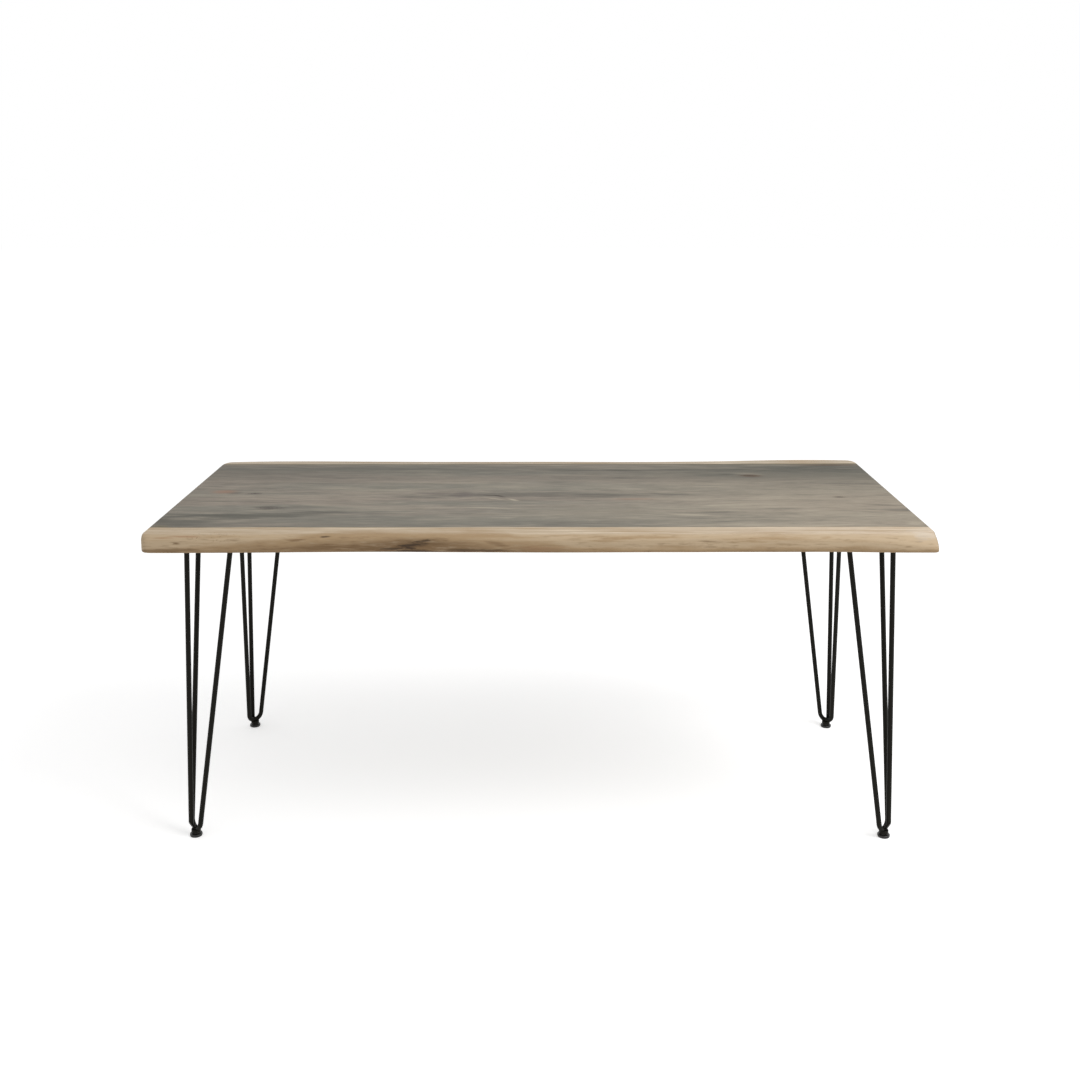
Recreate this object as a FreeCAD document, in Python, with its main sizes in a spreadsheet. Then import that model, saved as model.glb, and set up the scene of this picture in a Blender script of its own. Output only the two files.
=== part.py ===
import FreeCAD, Part
import enum
import math
import os
import Sketcher

# A dining table: one live-edge slab on four three-rod hairpin legs with screw-adjustable feet.
# Millimetres, +Z up, floor at z = 0, long side along X, the viewer's side at -Y.

# Driving dimensions. Each has one cell of the sheet.
SIZES = {
    # Slab
    "table_length": 1777,
    "table_width": 816,
    "table_height": 762,
    "slab_thickness": 40,
    "front_wave": 13,
    "back_flare": 32,
    "edge_round": 12,
    "edge_drop": 13,
    "corner_wane": 46,
    "corner_drop": 33,
    "under_round": 5,
    "end_ease": 2.5,
    "corner_round": 24,
    "corner_run": 18,
    # Legs
    "leg_inset_x": 75.5,
    "leg_inset_y": 106,
    "rod_diameter": 12,
    "rod_spacing": 103,
    "bend_inner_radius": 13.5,
    "foot_splay": 5.5,
    "weld_gap": 0.2,
    "scarf_rise": 22,
    "scarf_gap": 1,
    # Mounting plates
    "plate_thickness": 5,
    "plate_arm": 32,
    "plate_web": 24,
    "plate_ease": 0.6,
    # Wood screws
    "screw_diameter": 5,
    "screw_head": 9.6,
    "screw_point": 7,
    "screw_recess": 0.2,
    "screw_clearance": 0.25,
    "pilot_end_room": 2,
    "pilot_cover": 13,
    # Feet
    "boss_diameter": 22,
    "boss_wall": 3.5,
    "boss_lap": 4,
    "boss_ease": 0.8,
    "stem_diameter": 6,
    "stem_clearance": 0.08,
    "stem_proud": 2,
    "stem_bevel": 0.8,
    "collar_flats": 17,
    "collar_height": 3,
    "heel_diameter": 10,
    "heel_clearance": 0.08,
    "pad_diameter": 29.5,
    "pad_height": 6.5,
    "pad_floor": 2.5,
    "pad_round": 2.2,
}

# Heights and leg geometry that follow from the sheet, as expressions.
HALF_LENGTH = "(Sizes.table_length / 2)"
HALF_WIDTH = "(Sizes.table_width / 2)"
SLAB_UNDERSIDE = "(Sizes.table_height - Sizes.slab_thickness)"
PLATE_UNDERSIDE = f"({SLAB_UNDERSIDE} - Sizes.plate_thickness)"
PILOT_TOP = "(Sizes.table_height - Sizes.pilot_cover)"
SCREW_TIP = f"({PILOT_TOP} - Sizes.pilot_end_room)"
COLLAR_TOP = "(Sizes.pad_height + Sizes.collar_height)"
BEND_UNDERSIDE = f"({COLLAR_TOP} + Sizes.boss_wall)"
BEND_AXIS = f"({BEND_UNDERSIDE} + Sizes.rod_diameter / 2)"
LEG_X = f"({HALF_LENGTH} - Sizes.leg_inset_x)"
LEG_Y = f"({HALF_WIDTH} - Sizes.leg_inset_y)"
FOOT_X = f"({LEG_X} + Sizes.foot_splay)"
FOOT_Y = f"({LEG_Y} + Sizes.foot_splay)"
ROD_CUT = "(2 * (Sizes.rod_spacing + Sizes.rod_diameter))"
BEND_RADIUS = "(Sizes.bend_inner_radius + Sizes.rod_diameter / 2)"
# Along a leg's diagonal, measured inwards from the top of the corner rod.
ARM_REACH = "(Sizes.rod_spacing / sqrt(2))"
FOOT_REACH = "(Sizes.foot_splay * sqrt(2))"
LEG_RISE = f"({SLAB_UNDERSIDE} - {BEND_AXIS})"
HAIRPIN_LEAN = f"atan(({ARM_REACH} + {FOOT_REACH}) / {LEG_RISE})"
HAIRPIN_LENGTH = f"sqrt(({ARM_REACH} + {FOOT_REACH})^2 + {LEG_RISE}^2)"
CORNER_REACH = f"({FOOT_REACH} + (Sizes.rod_diameter + Sizes.weld_gap) / cos({HAIRPIN_LEAN}))"
CORNER_LEAN = f"atan({CORNER_REACH} / {LEG_RISE})"
CORNER_LENGTH = f"sqrt({CORNER_REACH}^2 + {LEG_RISE}^2)"
# The slanting cut at the foot of the corner rod, and where its plane meets the diagonal's start.
SCARF_SLOPE = "(Sizes.scarf_rise / Sizes.rod_diameter)"
SCARF_LEAN = f"atan({SCARF_SLOPE})"
SCARF_TIP = f"({BEND_UNDERSIDE} + Sizes.boss_lap + Sizes.scarf_gap)"
SCARF_START = f"({SCARF_TIP} - {SCARF_SLOPE} * ({CORNER_REACH} - Sizes.rod_diameter / 2))"

# The screws of one plate, as places along its two arms from the corner rod.
SCREW_NEAR = "(Sizes.rod_spacing / 3)"
SCREW_FAR = "(Sizes.rod_spacing * 2 / 3)"
SCREW_CORNER = "(Sizes.plate_arm / 2)"
SCREW_PLACES = (
    (SCREW_CORNER, SCREW_CORNER),
    (SCREW_NEAR, "0"),
    (SCREW_FAR, "0"),
    ("0", SCREW_NEAR),
    ("0", SCREW_FAR),
)

# Name, side along X and side along Y of each leg, in the order of their quarter turns.
LEGS = (
    ("front_left", -1, -1),
    ("front_right", 1, -1),
    ("rear_right", 1, 1),
    ("rear_left", -1, 1),
)
QUARTER = 90
DIAGONAL = QUARTER / 2

# Live edge: stations along half the length, and how far each edge follows its size there.
STATIONS = (-1, -0.9, -0.7, -0.45, -0.2, 0.05, 0.3, 0.55, 0.75, 0.9, 1)
FRONT_WAVES = (0, 0.03, 0.38, 0.81, 0.7, 0.54, 0.77, 0.96, 1, 0.65, 0.6)
BACK_FLARES = (0.95, 0.86, 0.82, 0.96, 1, 0.92, 0.98, 0.72, 0.19, 0.03, 0)
FRONT_WANES = (0, 0, 0, 0, 0, 0, 0, 0.03, 0.12, 0.4, 1)
BACK_WANES = (0.3, 0.08, 0, 0, 0, 0, 0, 0, 0, 0.08, 0.3)
# Rounded corners in plan: steps along a corner's run, and how far each corner follows its round.
CORNER_STEPS = (0, 0.12, 0.4, 1, 1.7, 3)
FRONT_CORNERS = (0.9, 0.15)
BACK_CORNERS = (1.4, 1.4)
# Depths of the slab's outlines below its top: down the side, and round the lower arris.
SIDE_SHARES = (0, 0.07, 0.18, 0.33, 0.52, 0.75, 1)
UNDER_SHARES = (0.4, 0)
LEVELS = tuple(f"(Sizes.slab_thickness - Sizes.under_round) * {share}" for share in SIDE_SHARES)
LEVELS += tuple(f"(Sizes.slab_thickness - Sizes.under_round * {share})" for share in UNDER_SHARES)

UP = FreeCAD.Vector(0, 0, 1)
TINY = 1e-6
HEXAGON = 6


class Spot(enum.IntEnum):
    """Points of a sketch's curve."""

    START = 1
    END = 2
    CENTRE = 3


class Datum(enum.IntEnum):
    """A sketch's own axes. Its root point is the start of the first."""

    ROOT = -1
    X_AXIS = -1
    Y_AXIS = -2


doc = FreeCAD.newDocument("dining_table")
sheet = doc.addObject("Spreadsheet::Sheet", "Sizes")
for row, (alias, value) in enumerate(SIZES.items(), start=1):
    sheet.set(f"A{row}", alias)
    sheet.set(f"B{row}", str(value))
    sheet.setAlias(f"B{row}", alias)
doc.recompute()


def number(expression):
    """The present value of an expression on the sheet, in millimetres or degrees."""
    value = sheet.evalExpression(expression)
    return float(getattr(value, "Value", value))


def new_body(label, x=None, y=None, turn=0):
    """An empty body, turned about Z and placed over a point of the floor."""
    body = doc.addObject("PartDesign::Body", label)
    body.Label = label
    body.Placement = FreeCAD.Placement(FreeCAD.Vector(), FreeCAD.Rotation(UP, turn))
    if x:
        body.setExpression("Placement.Base.x", x)
        body.setExpression("Placement.Base.y", y)
    return body


def new_sketch(body, name, role="XY_Plane", height=None):
    """A sketch on one of the body's own planes, raised along the plane's normal."""
    plane = next(item for item in body.Origin.OriginFeatures if item.Role == role)
    sketch = body.newObject("Sketcher::SketchObject", name)
    sketch.AttachmentSupport = [(plane, "")]
    sketch.MapMode = "FlatFace"
    if height:
        sketch.setExpression("AttachmentOffset.Base.z", height)
    return sketch


def lean(sketch, axis, angle):
    """Lean a sketch about one of its own axes by a bound angle."""
    start = FreeCAD.Rotation(axis, number(angle))
    sketch.AttachmentOffset = FreeCAD.Placement(FreeCAD.Vector(), start)
    sketch.setExpression("AttachmentOffset.Rotation.Angle", angle)


def line_between(x_start, y_start, x_end, y_end):
    """A straight line of a sketch."""
    return Part.LineSegment(FreeCAD.Vector(x_start, y_start, 0), FreeCAD.Vector(x_end, y_end, 0))


def arc_about(centre_x, centre_y, radius, start, end):
    """An arc of a sketch between two angles in degrees, anticlockwise."""
    circle = Part.Circle(FreeCAD.Vector(centre_x, centre_y, 0), UP, radius)
    return Part.ArcOfCircle(circle, math.radians(start), math.radians(end))


def bind(sketch, kind, *geometry, to):
    """A dimension of a sketch that follows an expression."""
    index = sketch.addConstraint(Sketcher.Constraint(kind, *geometry, number(to)))
    sketch.setExpression(f"Constraints[{index}]", to)


def fix_point(sketch, geometry, point, x, y):
    """Hold a point at a place from the sketch's root point."""
    for kind, axis, place in (("DistanceX", Datum.Y_AXIS, x), ("DistanceY", Datum.X_AXIS, y)):
        value = number(place)
        if abs(value) < TINY:
            sketch.addConstraint(Sketcher.Constraint("PointOnObject", geometry, point, axis))
        elif value > 0:
            bind(sketch, kind, Datum.ROOT, Spot.START, geometry, point, to=place)
        else:
            bind(sketch, kind, geometry, point, Datum.ROOT, Spot.START, to=f"-({place})")


def add_circle(sketch, x, y, diameter):
    """A circle of a bound size at a bound place."""
    centre = FreeCAD.Vector(number(x), number(y), 0)
    index = sketch.addGeometry(Part.Circle(centre, UP, number(diameter) / 2))
    fix_point(sketch, index, Spot.CENTRE, x, y)
    bind(sketch, "Diameter", index, to=diameter)


def add_outline(sketch, points):
    """A closed outline of straight lines through bound points."""
    count = len(points)
    corners = [FreeCAD.Vector(number(x), number(y), 0) for x, y in points]
    lines = []
    for i, corner in enumerate(corners):
        following = corners[(i + 1) % count]
        lines.append(sketch.addGeometry(Part.LineSegment(corner, following)))
    for i, line in enumerate(lines):
        following = lines[(i + 1) % count]
        sketch.addConstraint(Sketcher.Constraint("Coincident", line, Spot.END, following, Spot.START))
        fix_point(sketch, line, Spot.START, *points[i])
    return lines


def add_feature(body, kind, name, profile, **settings):
    """A feature of a body on a profile sketch. Text settings are expressions."""
    feature = body.newObject(f"PartDesign::{kind}", name)
    feature.Profile = profile
    for key, value in settings.items():
        if isinstance(value, str) and "Sizes." in value:
            feature.setExpression(key, value)
        else:
            setattr(feature, key, value)
    doc.recompute()
    return feature


def cut_flat(body, name, height, reach, upwards, slant=None):
    """Cut a leg's rods off at a height, level or at a slant, on the upper or lower side."""
    sketch = new_sketch(body, f"{name}_sketch", height=height)
    if slant:
        lean(sketch, FreeCAD.Vector(0, 1, 0), slant)
    add_circle(sketch, "0", "0", reach)
    before = body.Shape.Volume
    add_feature(body, "Pocket", name, sketch, Type="ThroughAll", Reversed=upwards)
    assert body.Shape.Volume < before, f"{name} cuts nothing"


def edge_inset(depth, width, drop):
    """How far a parabolic round stands in from the face at a depth below its top."""
    if depth >= drop:
        return 0
    return width * (1 - depth / drop) ** 2


def corner_inset(step):
    """How far a corner's round stands in at a step of its run from the slab's end."""
    if step >= 1:
        return 0
    return number("Sizes.corner_round") * (1 - math.sqrt(1 - (1 - step) ** 2))


def edge_spots(half_length, waves, wanes, corners):
    """Places along a live edge with its wave, wane and corner inset there, from -X to +X."""
    inner = list(zip(STATIONS, waves, wanes))[1:-1]
    spots = [(half_length * station, wave, wane, 0) for station, wave, wane in inner]
    for end, near, corner in ((0, 1, corners[0]), (-1, -2, corners[1])):
        for step in CORNER_STEPS:
            x = STATIONS[end] * (half_length - step * number("Sizes.corner_run"))
            share = (x / half_length - STATIONS[near]) / (STATIONS[end] - STATIONS[near])
            wave = waves[near] + share * (waves[end] - waves[near])
            wane = wanes[near] + share * (wanes[end] - wanes[near])
            spots.append((x, wave, wane, corner * corner_inset(step)))
    return sorted(spots)


def live_edge(side, depth, waves, wave, wanes, corners):
    """One long edge of the slab at a depth below the top, as a curve from -X to +X."""
    thickness = number("Sizes.slab_thickness")
    under = number("Sizes.under_round")
    half_length = number(HALF_LENGTH) - end_inset(depth)
    points = []
    for x, share, wane, rounded in edge_spots(half_length, waves, wanes, corners):
        width = number("Sizes.edge_round") * (1 - wane) + number("Sizes.corner_wane") * wane
        drop = number("Sizes.edge_drop") * (1 - wane) + number("Sizes.corner_drop") * wane
        drop = min(drop, thickness - under)
        inset = edge_inset(depth, width, drop) + edge_inset(thickness - depth, under, under)
        reach = number(HALF_WIDTH) - number(wave) * share - rounded - inset
        points.append(FreeCAD.Vector(x, side * reach, 0))
    curve = Part.BSplineCurve()
    curve.interpolate(points)
    return curve, points


def end_inset(depth):
    """How far the eased arrises of the sawn ends stand in at a depth below the top."""
    ease = number("Sizes.end_ease")
    thickness = number("Sizes.slab_thickness")
    return edge_inset(depth, ease, ease) + edge_inset(thickness - depth, ease, ease)


def slab_outline(body, order, level):
    """The slab's outline at one level: two live edges and two sawn ends."""
    sketch = new_sketch(body, f"outline_{order}", height=f"Sizes.table_height - {level}")
    depth = number(level)
    front, front_points = live_edge(
        -1, depth, FRONT_WAVES, "Sizes.front_wave", FRONT_WANES, FRONT_CORNERS
    )
    back, back_points = live_edge(1, depth, BACK_FLARES, "Sizes.back_flare", BACK_WANES, BACK_CORNERS)
    sketch.addGeometry(front)
    sketch.addGeometry(Part.LineSegment(front_points[-1], back_points[-1]))
    sketch.addGeometry(back)
    sketch.addGeometry(Part.LineSegment(back_points[0], front_points[0]))
    return sketch


def table_place(side_x, side_y, turns, along, across):
    """A place on a leg's plate as expressions in the table's own X and Y."""
    turned = {
        0: (along, across),
        1: (f"-({across})", along),
        2: (f"-({along})", f"-({across})"),
        3: (across, f"-({along})"),
    }
    step_x, step_y = turned[turns]
    return f"({side_x} * {LEG_X} + ({step_x}))", f"({side_y} * {LEG_Y} + ({step_y}))"


def make_slab():
    """The tabletop: a lofted live-edge slab with blind pilot holes for the plate screws."""
    body = new_body("tabletop_slab")
    outlines = [slab_outline(body, order, level) for order, level in enumerate(LEVELS)]
    doc.recompute()
    add_feature(body, "AdditiveLoft", "slab_loft", outlines[0], Sections=outlines[1:])
    pilots = new_sketch(body, "pilot_sketch", height=SLAB_UNDERSIDE)
    for turns, (_, side_x, side_y) in enumerate(LEGS):
        for along, across in SCREW_PLACES:
            x, y = table_place(side_x, side_y, turns, along, across)
            add_circle(pilots, x, y, "Sizes.screw_diameter + 2 * Sizes.screw_clearance")
    before = body.Shape.Volume
    depth = f"{PILOT_TOP} - {SLAB_UNDERSIDE}"
    add_feature(body, "Pocket", "pilot_holes", pilots, Length=depth, Reversed=True)
    assert body.Shape.Volume < before, "the pilot holes cut nothing"
    return body


def make_plate(name, x, y, turns):
    """An angled mounting plate with round ends, a web in its inner corner and five countersunk holes."""
    body = new_body(f"mounting_plate_{name}", x, y, turns * QUARTER)
    arm = number("Sizes.plate_arm") / 2
    web = number("Sizes.plate_web")
    reach = number("Sizes.rod_spacing")
    sketch = new_sketch(body, "plate_sketch", height=PLATE_UNDERSIDE)
    outer_x = sketch.addGeometry(line_between(0, -arm, reach, -arm))
    end_x = sketch.addGeometry(arc_about(reach, 0, arm, -90, 90))
    inner_x = sketch.addGeometry(line_between(reach, arm, arm + web, arm))
    corner = sketch.addGeometry(arc_about(arm + web, arm + web, web, 180, 270))
    inner_y = sketch.addGeometry(line_between(arm, arm + web, arm, reach))
    end_y = sketch.addGeometry(arc_about(0, reach, arm, 0, 180))
    outer_y = sketch.addGeometry(line_between(-arm, reach, -arm, 0))
    heel = sketch.addGeometry(arc_about(0, 0, arm, 180, 270))
    joins = (
        (outer_x, Spot.END, end_x, Spot.START),
        (end_x, Spot.END, inner_x, Spot.START),
        (inner_x, Spot.END, corner, Spot.END),
        (corner, Spot.START, inner_y, Spot.START),
        (inner_y, Spot.END, end_y, Spot.START),
        (end_y, Spot.END, outer_y, Spot.START),
        (outer_y, Spot.END, heel, Spot.START),
        (heel, Spot.END, outer_x, Spot.START),
    )
    for join in joins:
        sketch.addConstraint(Sketcher.Constraint("Tangent", *join))
    for level in (outer_x, inner_x):
        sketch.addConstraint(Sketcher.Constraint("Horizontal", level))
    for upright in (outer_y, inner_y):
        sketch.addConstraint(Sketcher.Constraint("Vertical", upright))
    sketch.addConstraint(Sketcher.Constraint("Coincident", heel, Spot.CENTRE, Datum.ROOT, Spot.START))
    bind(sketch, "Radius", heel, to="Sizes.plate_arm / 2")
    bind(sketch, "Radius", corner, to="Sizes.plate_web")
    fix_point(sketch, end_x, Spot.CENTRE, "Sizes.rod_spacing", "0")
    fix_point(sketch, end_y, Spot.CENTRE, "0", "Sizes.rod_spacing")
    plate = add_feature(body, "Pad", "plate_pad", sketch, Length="Sizes.plate_thickness")
    ease = body.newObject("PartDesign::Chamfer", "plate_ease")
    ease.Base = (plate, rim_edges(plate.Shape, number(PLATE_UNDERSIDE)))
    ease.setExpression("Size", "Sizes.plate_ease")
    doc.recompute()
    holes = new_sketch(body, "hole_sketch", height=PLATE_UNDERSIDE)
    for along, across in SCREW_PLACES:
        add_circle(holes, along, across, "Sizes.screw_diameter + 2 * Sizes.screw_clearance")
    before = body.Shape.Volume
    add_feature(body, "Pocket", "screw_holes", holes, Type="ThroughAll", Reversed=True)
    assert body.Shape.Volume < before, "the screw holes cut nothing"
    for order, (along, across) in enumerate(SCREW_PLACES):
        countersink(body, order, along, across)
    return body


def rim_edges(shape, height):
    """The names of a shape's edges that lie at one height."""
    names = []
    for order, edge in enumerate(shape.Edges, start=1):
        box = edge.BoundBox
        if abs(box.ZMin - height) < TINY and abs(box.ZMax - height) < TINY:
            names.append(f"Edge{order}")
    return names


def countersink(body, order, along, across):
    """A conical seat for one screw head in the underside of a plate."""
    sketch = new_sketch(body, f"seat_sketch_{order}", role="XZ_Plane", height=f"-({across})")
    head = "(Sizes.screw_head / 2 + Sizes.screw_clearance)"
    shank = "(Sizes.screw_diameter / 2 + Sizes.screw_clearance)"
    lines = add_outline(sketch, (
        (along, PLATE_UNDERSIDE),
        (f"({along} + {head})", PLATE_UNDERSIDE),
        (f"({along} + {head})", f"({PLATE_UNDERSIDE} + Sizes.screw_recess)"),
        (f"({along} + {shank})", f"({PLATE_UNDERSIDE} + Sizes.screw_recess + {head} - {shank})"),
        (along, f"({PLATE_UNDERSIDE} + Sizes.screw_recess + {head} - {shank})"),
    ))
    before = body.Shape.Volume
    axis = (sketch, [f"Edge{lines[-1] + 1}"])
    add_feature(body, "Groove", f"seat_{order}", sketch, ReferenceAxis=axis, Angle=360)
    assert body.Shape.Volume < before, "a countersink cuts nothing"


def make_hairpin(name, x, y, turns):
    """The bent rod of a leg: two straight arms joined by a round bend, in a leaning plane."""
    body = new_body(f"hairpin_rod_{name}", x, y, turns * QUARTER + DIAGONAL)
    spine = new_sketch(body, "hairpin_path", role="YZ_Plane", height=f"-{FOOT_REACH}")
    lean(spine, FreeCAD.Vector(1, 0, 0), HAIRPIN_LEAN)
    spine.setExpression("AttachmentOffset.Base.y", BEND_AXIS)
    radius = number(BEND_RADIUS)
    reach = number(ARM_REACH)
    height = number(HAIRPIN_LENGTH)
    # Where the straight arms touch the bend, from the arm's top and the bend's centre.
    span = math.hypot(reach, height - radius)
    swing = math.degrees(math.atan2(height - radius, reach) - math.acos(radius / span))
    touch_x = radius * math.cos(math.radians(swing))
    touch_y = radius + radius * math.sin(math.radians(swing))
    left = spine.addGeometry(line_between(-reach, height, -touch_x, touch_y))
    bend = spine.addGeometry(arc_about(0, radius, radius, 180 - swing, 360 + swing))
    right = spine.addGeometry(line_between(touch_x, touch_y, reach, height))
    spine.addConstraint(Sketcher.Constraint("Tangent", left, Spot.END, bend, Spot.START))
    spine.addConstraint(Sketcher.Constraint("Tangent", bend, Spot.END, right, Spot.START))
    fix_point(spine, left, Spot.START, f"-{ARM_REACH}", HAIRPIN_LENGTH)
    fix_point(spine, right, Spot.END, ARM_REACH, HAIRPIN_LENGTH)
    fix_point(spine, bend, Spot.CENTRE, "0", BEND_RADIUS)
    bind(spine, "Radius", bend, to=BEND_RADIUS)
    doc.recompute()
    section = body.newObject("Sketcher::SketchObject", "hairpin_section")
    section.AttachmentSupport = [(spine, "Edge1")]
    section.MapMode = "NormalToEdge"
    add_circle(section, "0", "0", "Sizes.rod_diameter")
    doc.recompute()
    path = (spine, ["Edge1", "Edge2", "Edge3"])
    add_feature(body, "AdditivePipe", "hairpin_sweep", section, Spine=path)
    cut_flat(body, "hairpin_tops", PLATE_UNDERSIDE, ROD_CUT, True)
    bore = new_sketch(body, "bore_sketch")
    add_circle(bore, f"-{FOOT_REACH}", "0", "Sizes.stem_diameter + 2 * Sizes.stem_clearance")
    before = body.Shape.Volume
    add_feature(body, "Pocket", "stem_bore", bore, Type="ThroughAll", Reversed=True)
    assert body.Shape.Volume < before, "the stem bore cuts nothing"
    return body


def make_corner_rod(name, x, y, turns):
    """The straight third rod of a leg, scarfed off where it is welded to the outside of the bend."""
    body = new_body(f"corner_rod_{name}", x, y, turns * QUARTER + DIAGONAL)
    sketch = new_sketch(body, "corner_section", height=SLAB_UNDERSIDE)
    lean(sketch, FreeCAD.Vector(0, 1, 0), CORNER_LEAN)
    add_circle(sketch, "0", "0", "Sizes.rod_diameter")
    length = f"{CORNER_LENGTH} + Sizes.rod_diameter"
    add_feature(body, "Pad", "corner_pad", sketch, Length=length, Reversed=True)
    cut_flat(body, "corner_top", PLATE_UNDERSIDE, ROD_CUT, True)
    cut_flat(body, "corner_scarf", SCARF_START, ROD_CUT, False, SCARF_LEAN)
    return body


def make_boss(name, x, y, hairpin):
    """The round threaded boss under a bend, coped to the rod that is welded to it."""
    label = f"foot_boss_{name}"
    blank = doc.addObject("Part::Cylinder", f"boss_blank_{name}")
    blank.setExpression("Radius", "Sizes.boss_diameter / 2")
    blank.setExpression("Height", "Sizes.boss_wall + Sizes.boss_lap")
    bore = doc.addObject("Part::Cylinder", f"boss_bore_{name}")
    bore.setExpression("Radius", "Sizes.stem_diameter / 2 + Sizes.stem_clearance")
    bore.setExpression("Height", "Sizes.boss_wall + Sizes.boss_lap")
    for cylinder in (blank, bore):
        cylinder.setExpression("Placement.Base.x", x)
        cylinder.setExpression("Placement.Base.y", y)
        cylinder.setExpression("Placement.Base.z", COLLAR_TOP)
    doc.recompute()
    eased = doc.addObject("Part::Chamfer", f"boss_eased_{name}")
    eased.Base = blank
    rim = [order for order, edge in enumerate(blank.Shape.Edges, start=1) if len(edge.Vertexes) == 1]
    ease = number("Sizes.boss_ease")
    eased.Edges = [(order, ease, ease) for order in rim]
    tools = doc.addObject("Part::MultiFuse", f"boss_cuts_{name}")
    tools.Shapes = [hairpin, bore]
    boss = doc.addObject("Part::Cut", label)
    boss.Label = label
    boss.Base = eased
    boss.Tool = tools
    doc.recompute()
    return boss


def make_stem(name, x, y, turns):
    """The screw stem of a foot: a heel in the pad, a hexagon collar and a bevelled shank."""
    body = new_body(f"leveller_stem_{name}", x, y, turns * QUARTER)
    sketch = new_sketch(body, "stem_profile", role="XZ_Plane")
    top = f"({BEND_UNDERSIDE} + Sizes.rod_diameter + Sizes.stem_proud)"
    lines = add_outline(sketch, (
        ("0", "Sizes.pad_floor"),
        ("(Sizes.heel_diameter / 2)", "Sizes.pad_floor"),
        ("(Sizes.heel_diameter / 2)", "Sizes.pad_height"),
        ("(Sizes.stem_diameter / 2)", "Sizes.pad_height"),
        ("(Sizes.stem_diameter / 2)", f"({top} - Sizes.stem_bevel)"),
        ("(Sizes.stem_diameter / 2 - Sizes.stem_bevel)", top),
        ("0", top),
    ))
    axis = (sketch, [f"Edge{lines[-1] + 1}"])
    add_feature(body, "Revolution", "stem_turned", sketch, ReferenceAxis=axis, Angle=360)
    hexagon = new_sketch(body, "collar_sketch", height="Sizes.pad_height")
    corners = []
    radius = "(Sizes.collar_flats / sqrt(3))"
    for side in range(HEXAGON):
        angle = (side + 0.5) * 360 / HEXAGON
        corners.append((f"({radius} * cos({angle} deg))", f"({radius} * sin({angle} deg))"))
    add_outline(hexagon, corners)
    add_feature(body, "Pad", "collar_pad", hexagon, Length="Sizes.collar_height")
    return body


def make_pad(name, x, y, turns):
    """The round foot pad, with rounded rims and a socket for the stem's heel."""
    body = new_body(f"foot_pad_{name}", x, y, turns * QUARTER)
    sketch = new_sketch(body, "pad_profile", role="XZ_Plane")
    socket = "(Sizes.heel_diameter / 2 + Sizes.heel_clearance)"
    lines = add_outline(sketch, (
        ("0", "0"),
        ("(Sizes.pad_diameter / 2)", "0"),
        ("(Sizes.pad_diameter / 2)", "Sizes.pad_height"),
        (socket, "Sizes.pad_height"),
        (socket, "Sizes.pad_floor"),
        ("0", "Sizes.pad_floor"),
    ))
    axis = (sketch, [f"Edge{lines[-1] + 1}"])
    disc = add_feature(body, "Revolution", "pad_turned", sketch, ReferenceAxis=axis, Angle=360)
    rims = []
    for order, edge in enumerate(disc.Shape.Edges, start=1):
        wide = abs(edge.BoundBox.XLength - number("Sizes.pad_diameter")) < TINY
        if wide and edge.BoundBox.ZLength < TINY:
            rims.append(f"Edge{order}")
    rounded = body.newObject("PartDesign::Fillet", "pad_rims")
    rounded.Base = (disc, rims)
    rounded.setExpression("Radius", "min(Sizes.pad_round; Sizes.pad_height * 0.45)")
    doc.recompute()
    return body


def make_screw():
    """One countersunk wood screw, head down, standing on the plate's underside at the origin."""
    body = new_body("wood_screw")
    sketch = new_sketch(body, "screw_profile", role="XZ_Plane")
    head = "(Sizes.screw_head / 2)"
    shank = "(Sizes.screw_diameter / 2)"
    foot = f"({PLATE_UNDERSIDE} + Sizes.screw_recess)"
    lines = add_outline(sketch, (
        ("0", foot),
        (head, foot),
        (shank, f"({foot} + {head} - {shank})"),
        (shank, f"({SCREW_TIP} - Sizes.screw_point)"),
        ("0", SCREW_TIP),
    ))
    axis = (sketch, [f"Edge{lines[-1] + 1}"])
    add_feature(body, "Revolution", "screw_turned", sketch, ReferenceAxis=axis, Angle=360)
    return body


def make_screws(name, side_x, side_y, turns, screw):
    """The five screws of one plate, as separate solids of one node."""
    label = f"plate_screws_{name}"
    group = doc.addObject("Part::Feature", label)
    group.Label = label
    solids = []
    for along, across in SCREW_PLACES:
        x, y = table_place(side_x, side_y, turns, along, across)
        solid = screw.Shape.copy()
        solid.translate(FreeCAD.Vector(number(x), number(y), 0))
        solids.append(solid)
    group.Shape = Part.makeCompound(solids)
    group.Placement = FreeCAD.Placement()
    return group


nodes = [make_slab()]
screw = make_screw()
for turns, (name, side_x, side_y) in enumerate(LEGS):
    leg_x = f"{side_x} * {LEG_X}"
    leg_y = f"{side_y} * {LEG_Y}"
    foot_x = f"{side_x} * {FOOT_X}"
    foot_y = f"{side_y} * {FOOT_Y}"
    hairpin = make_hairpin(name, leg_x, leg_y, turns)
    nodes += [
        make_plate(name, leg_x, leg_y, turns),
        make_screws(name, side_x, side_y, turns, screw),
        hairpin,
        make_corner_rod(name, leg_x, leg_y, turns),
        make_boss(name, foot_x, foot_y, hairpin),
        make_stem(name, foot_x, foot_y, turns),
        make_pad(name, foot_x, foot_y, turns),
    ]
doc.recompute()

for item in doc.Objects:
    failed = [state for state in item.State if state in ("Invalid", "Error")]
    assert not failed, f"{item.Label} failed: {failed}"
for node in nodes:
    assert not node.Shape.isNull() and node.Shape.isValid(), f"{node.Label} has no valid shape"

os.makedirs("parts", exist_ok=True)
for node in nodes:
    node.Shape.exportStep(f"parts/{node.Label}.step")
    print(node.Label, len(node.Shape.Solids), "solids", round(node.Shape.Volume), "mm3")
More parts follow.
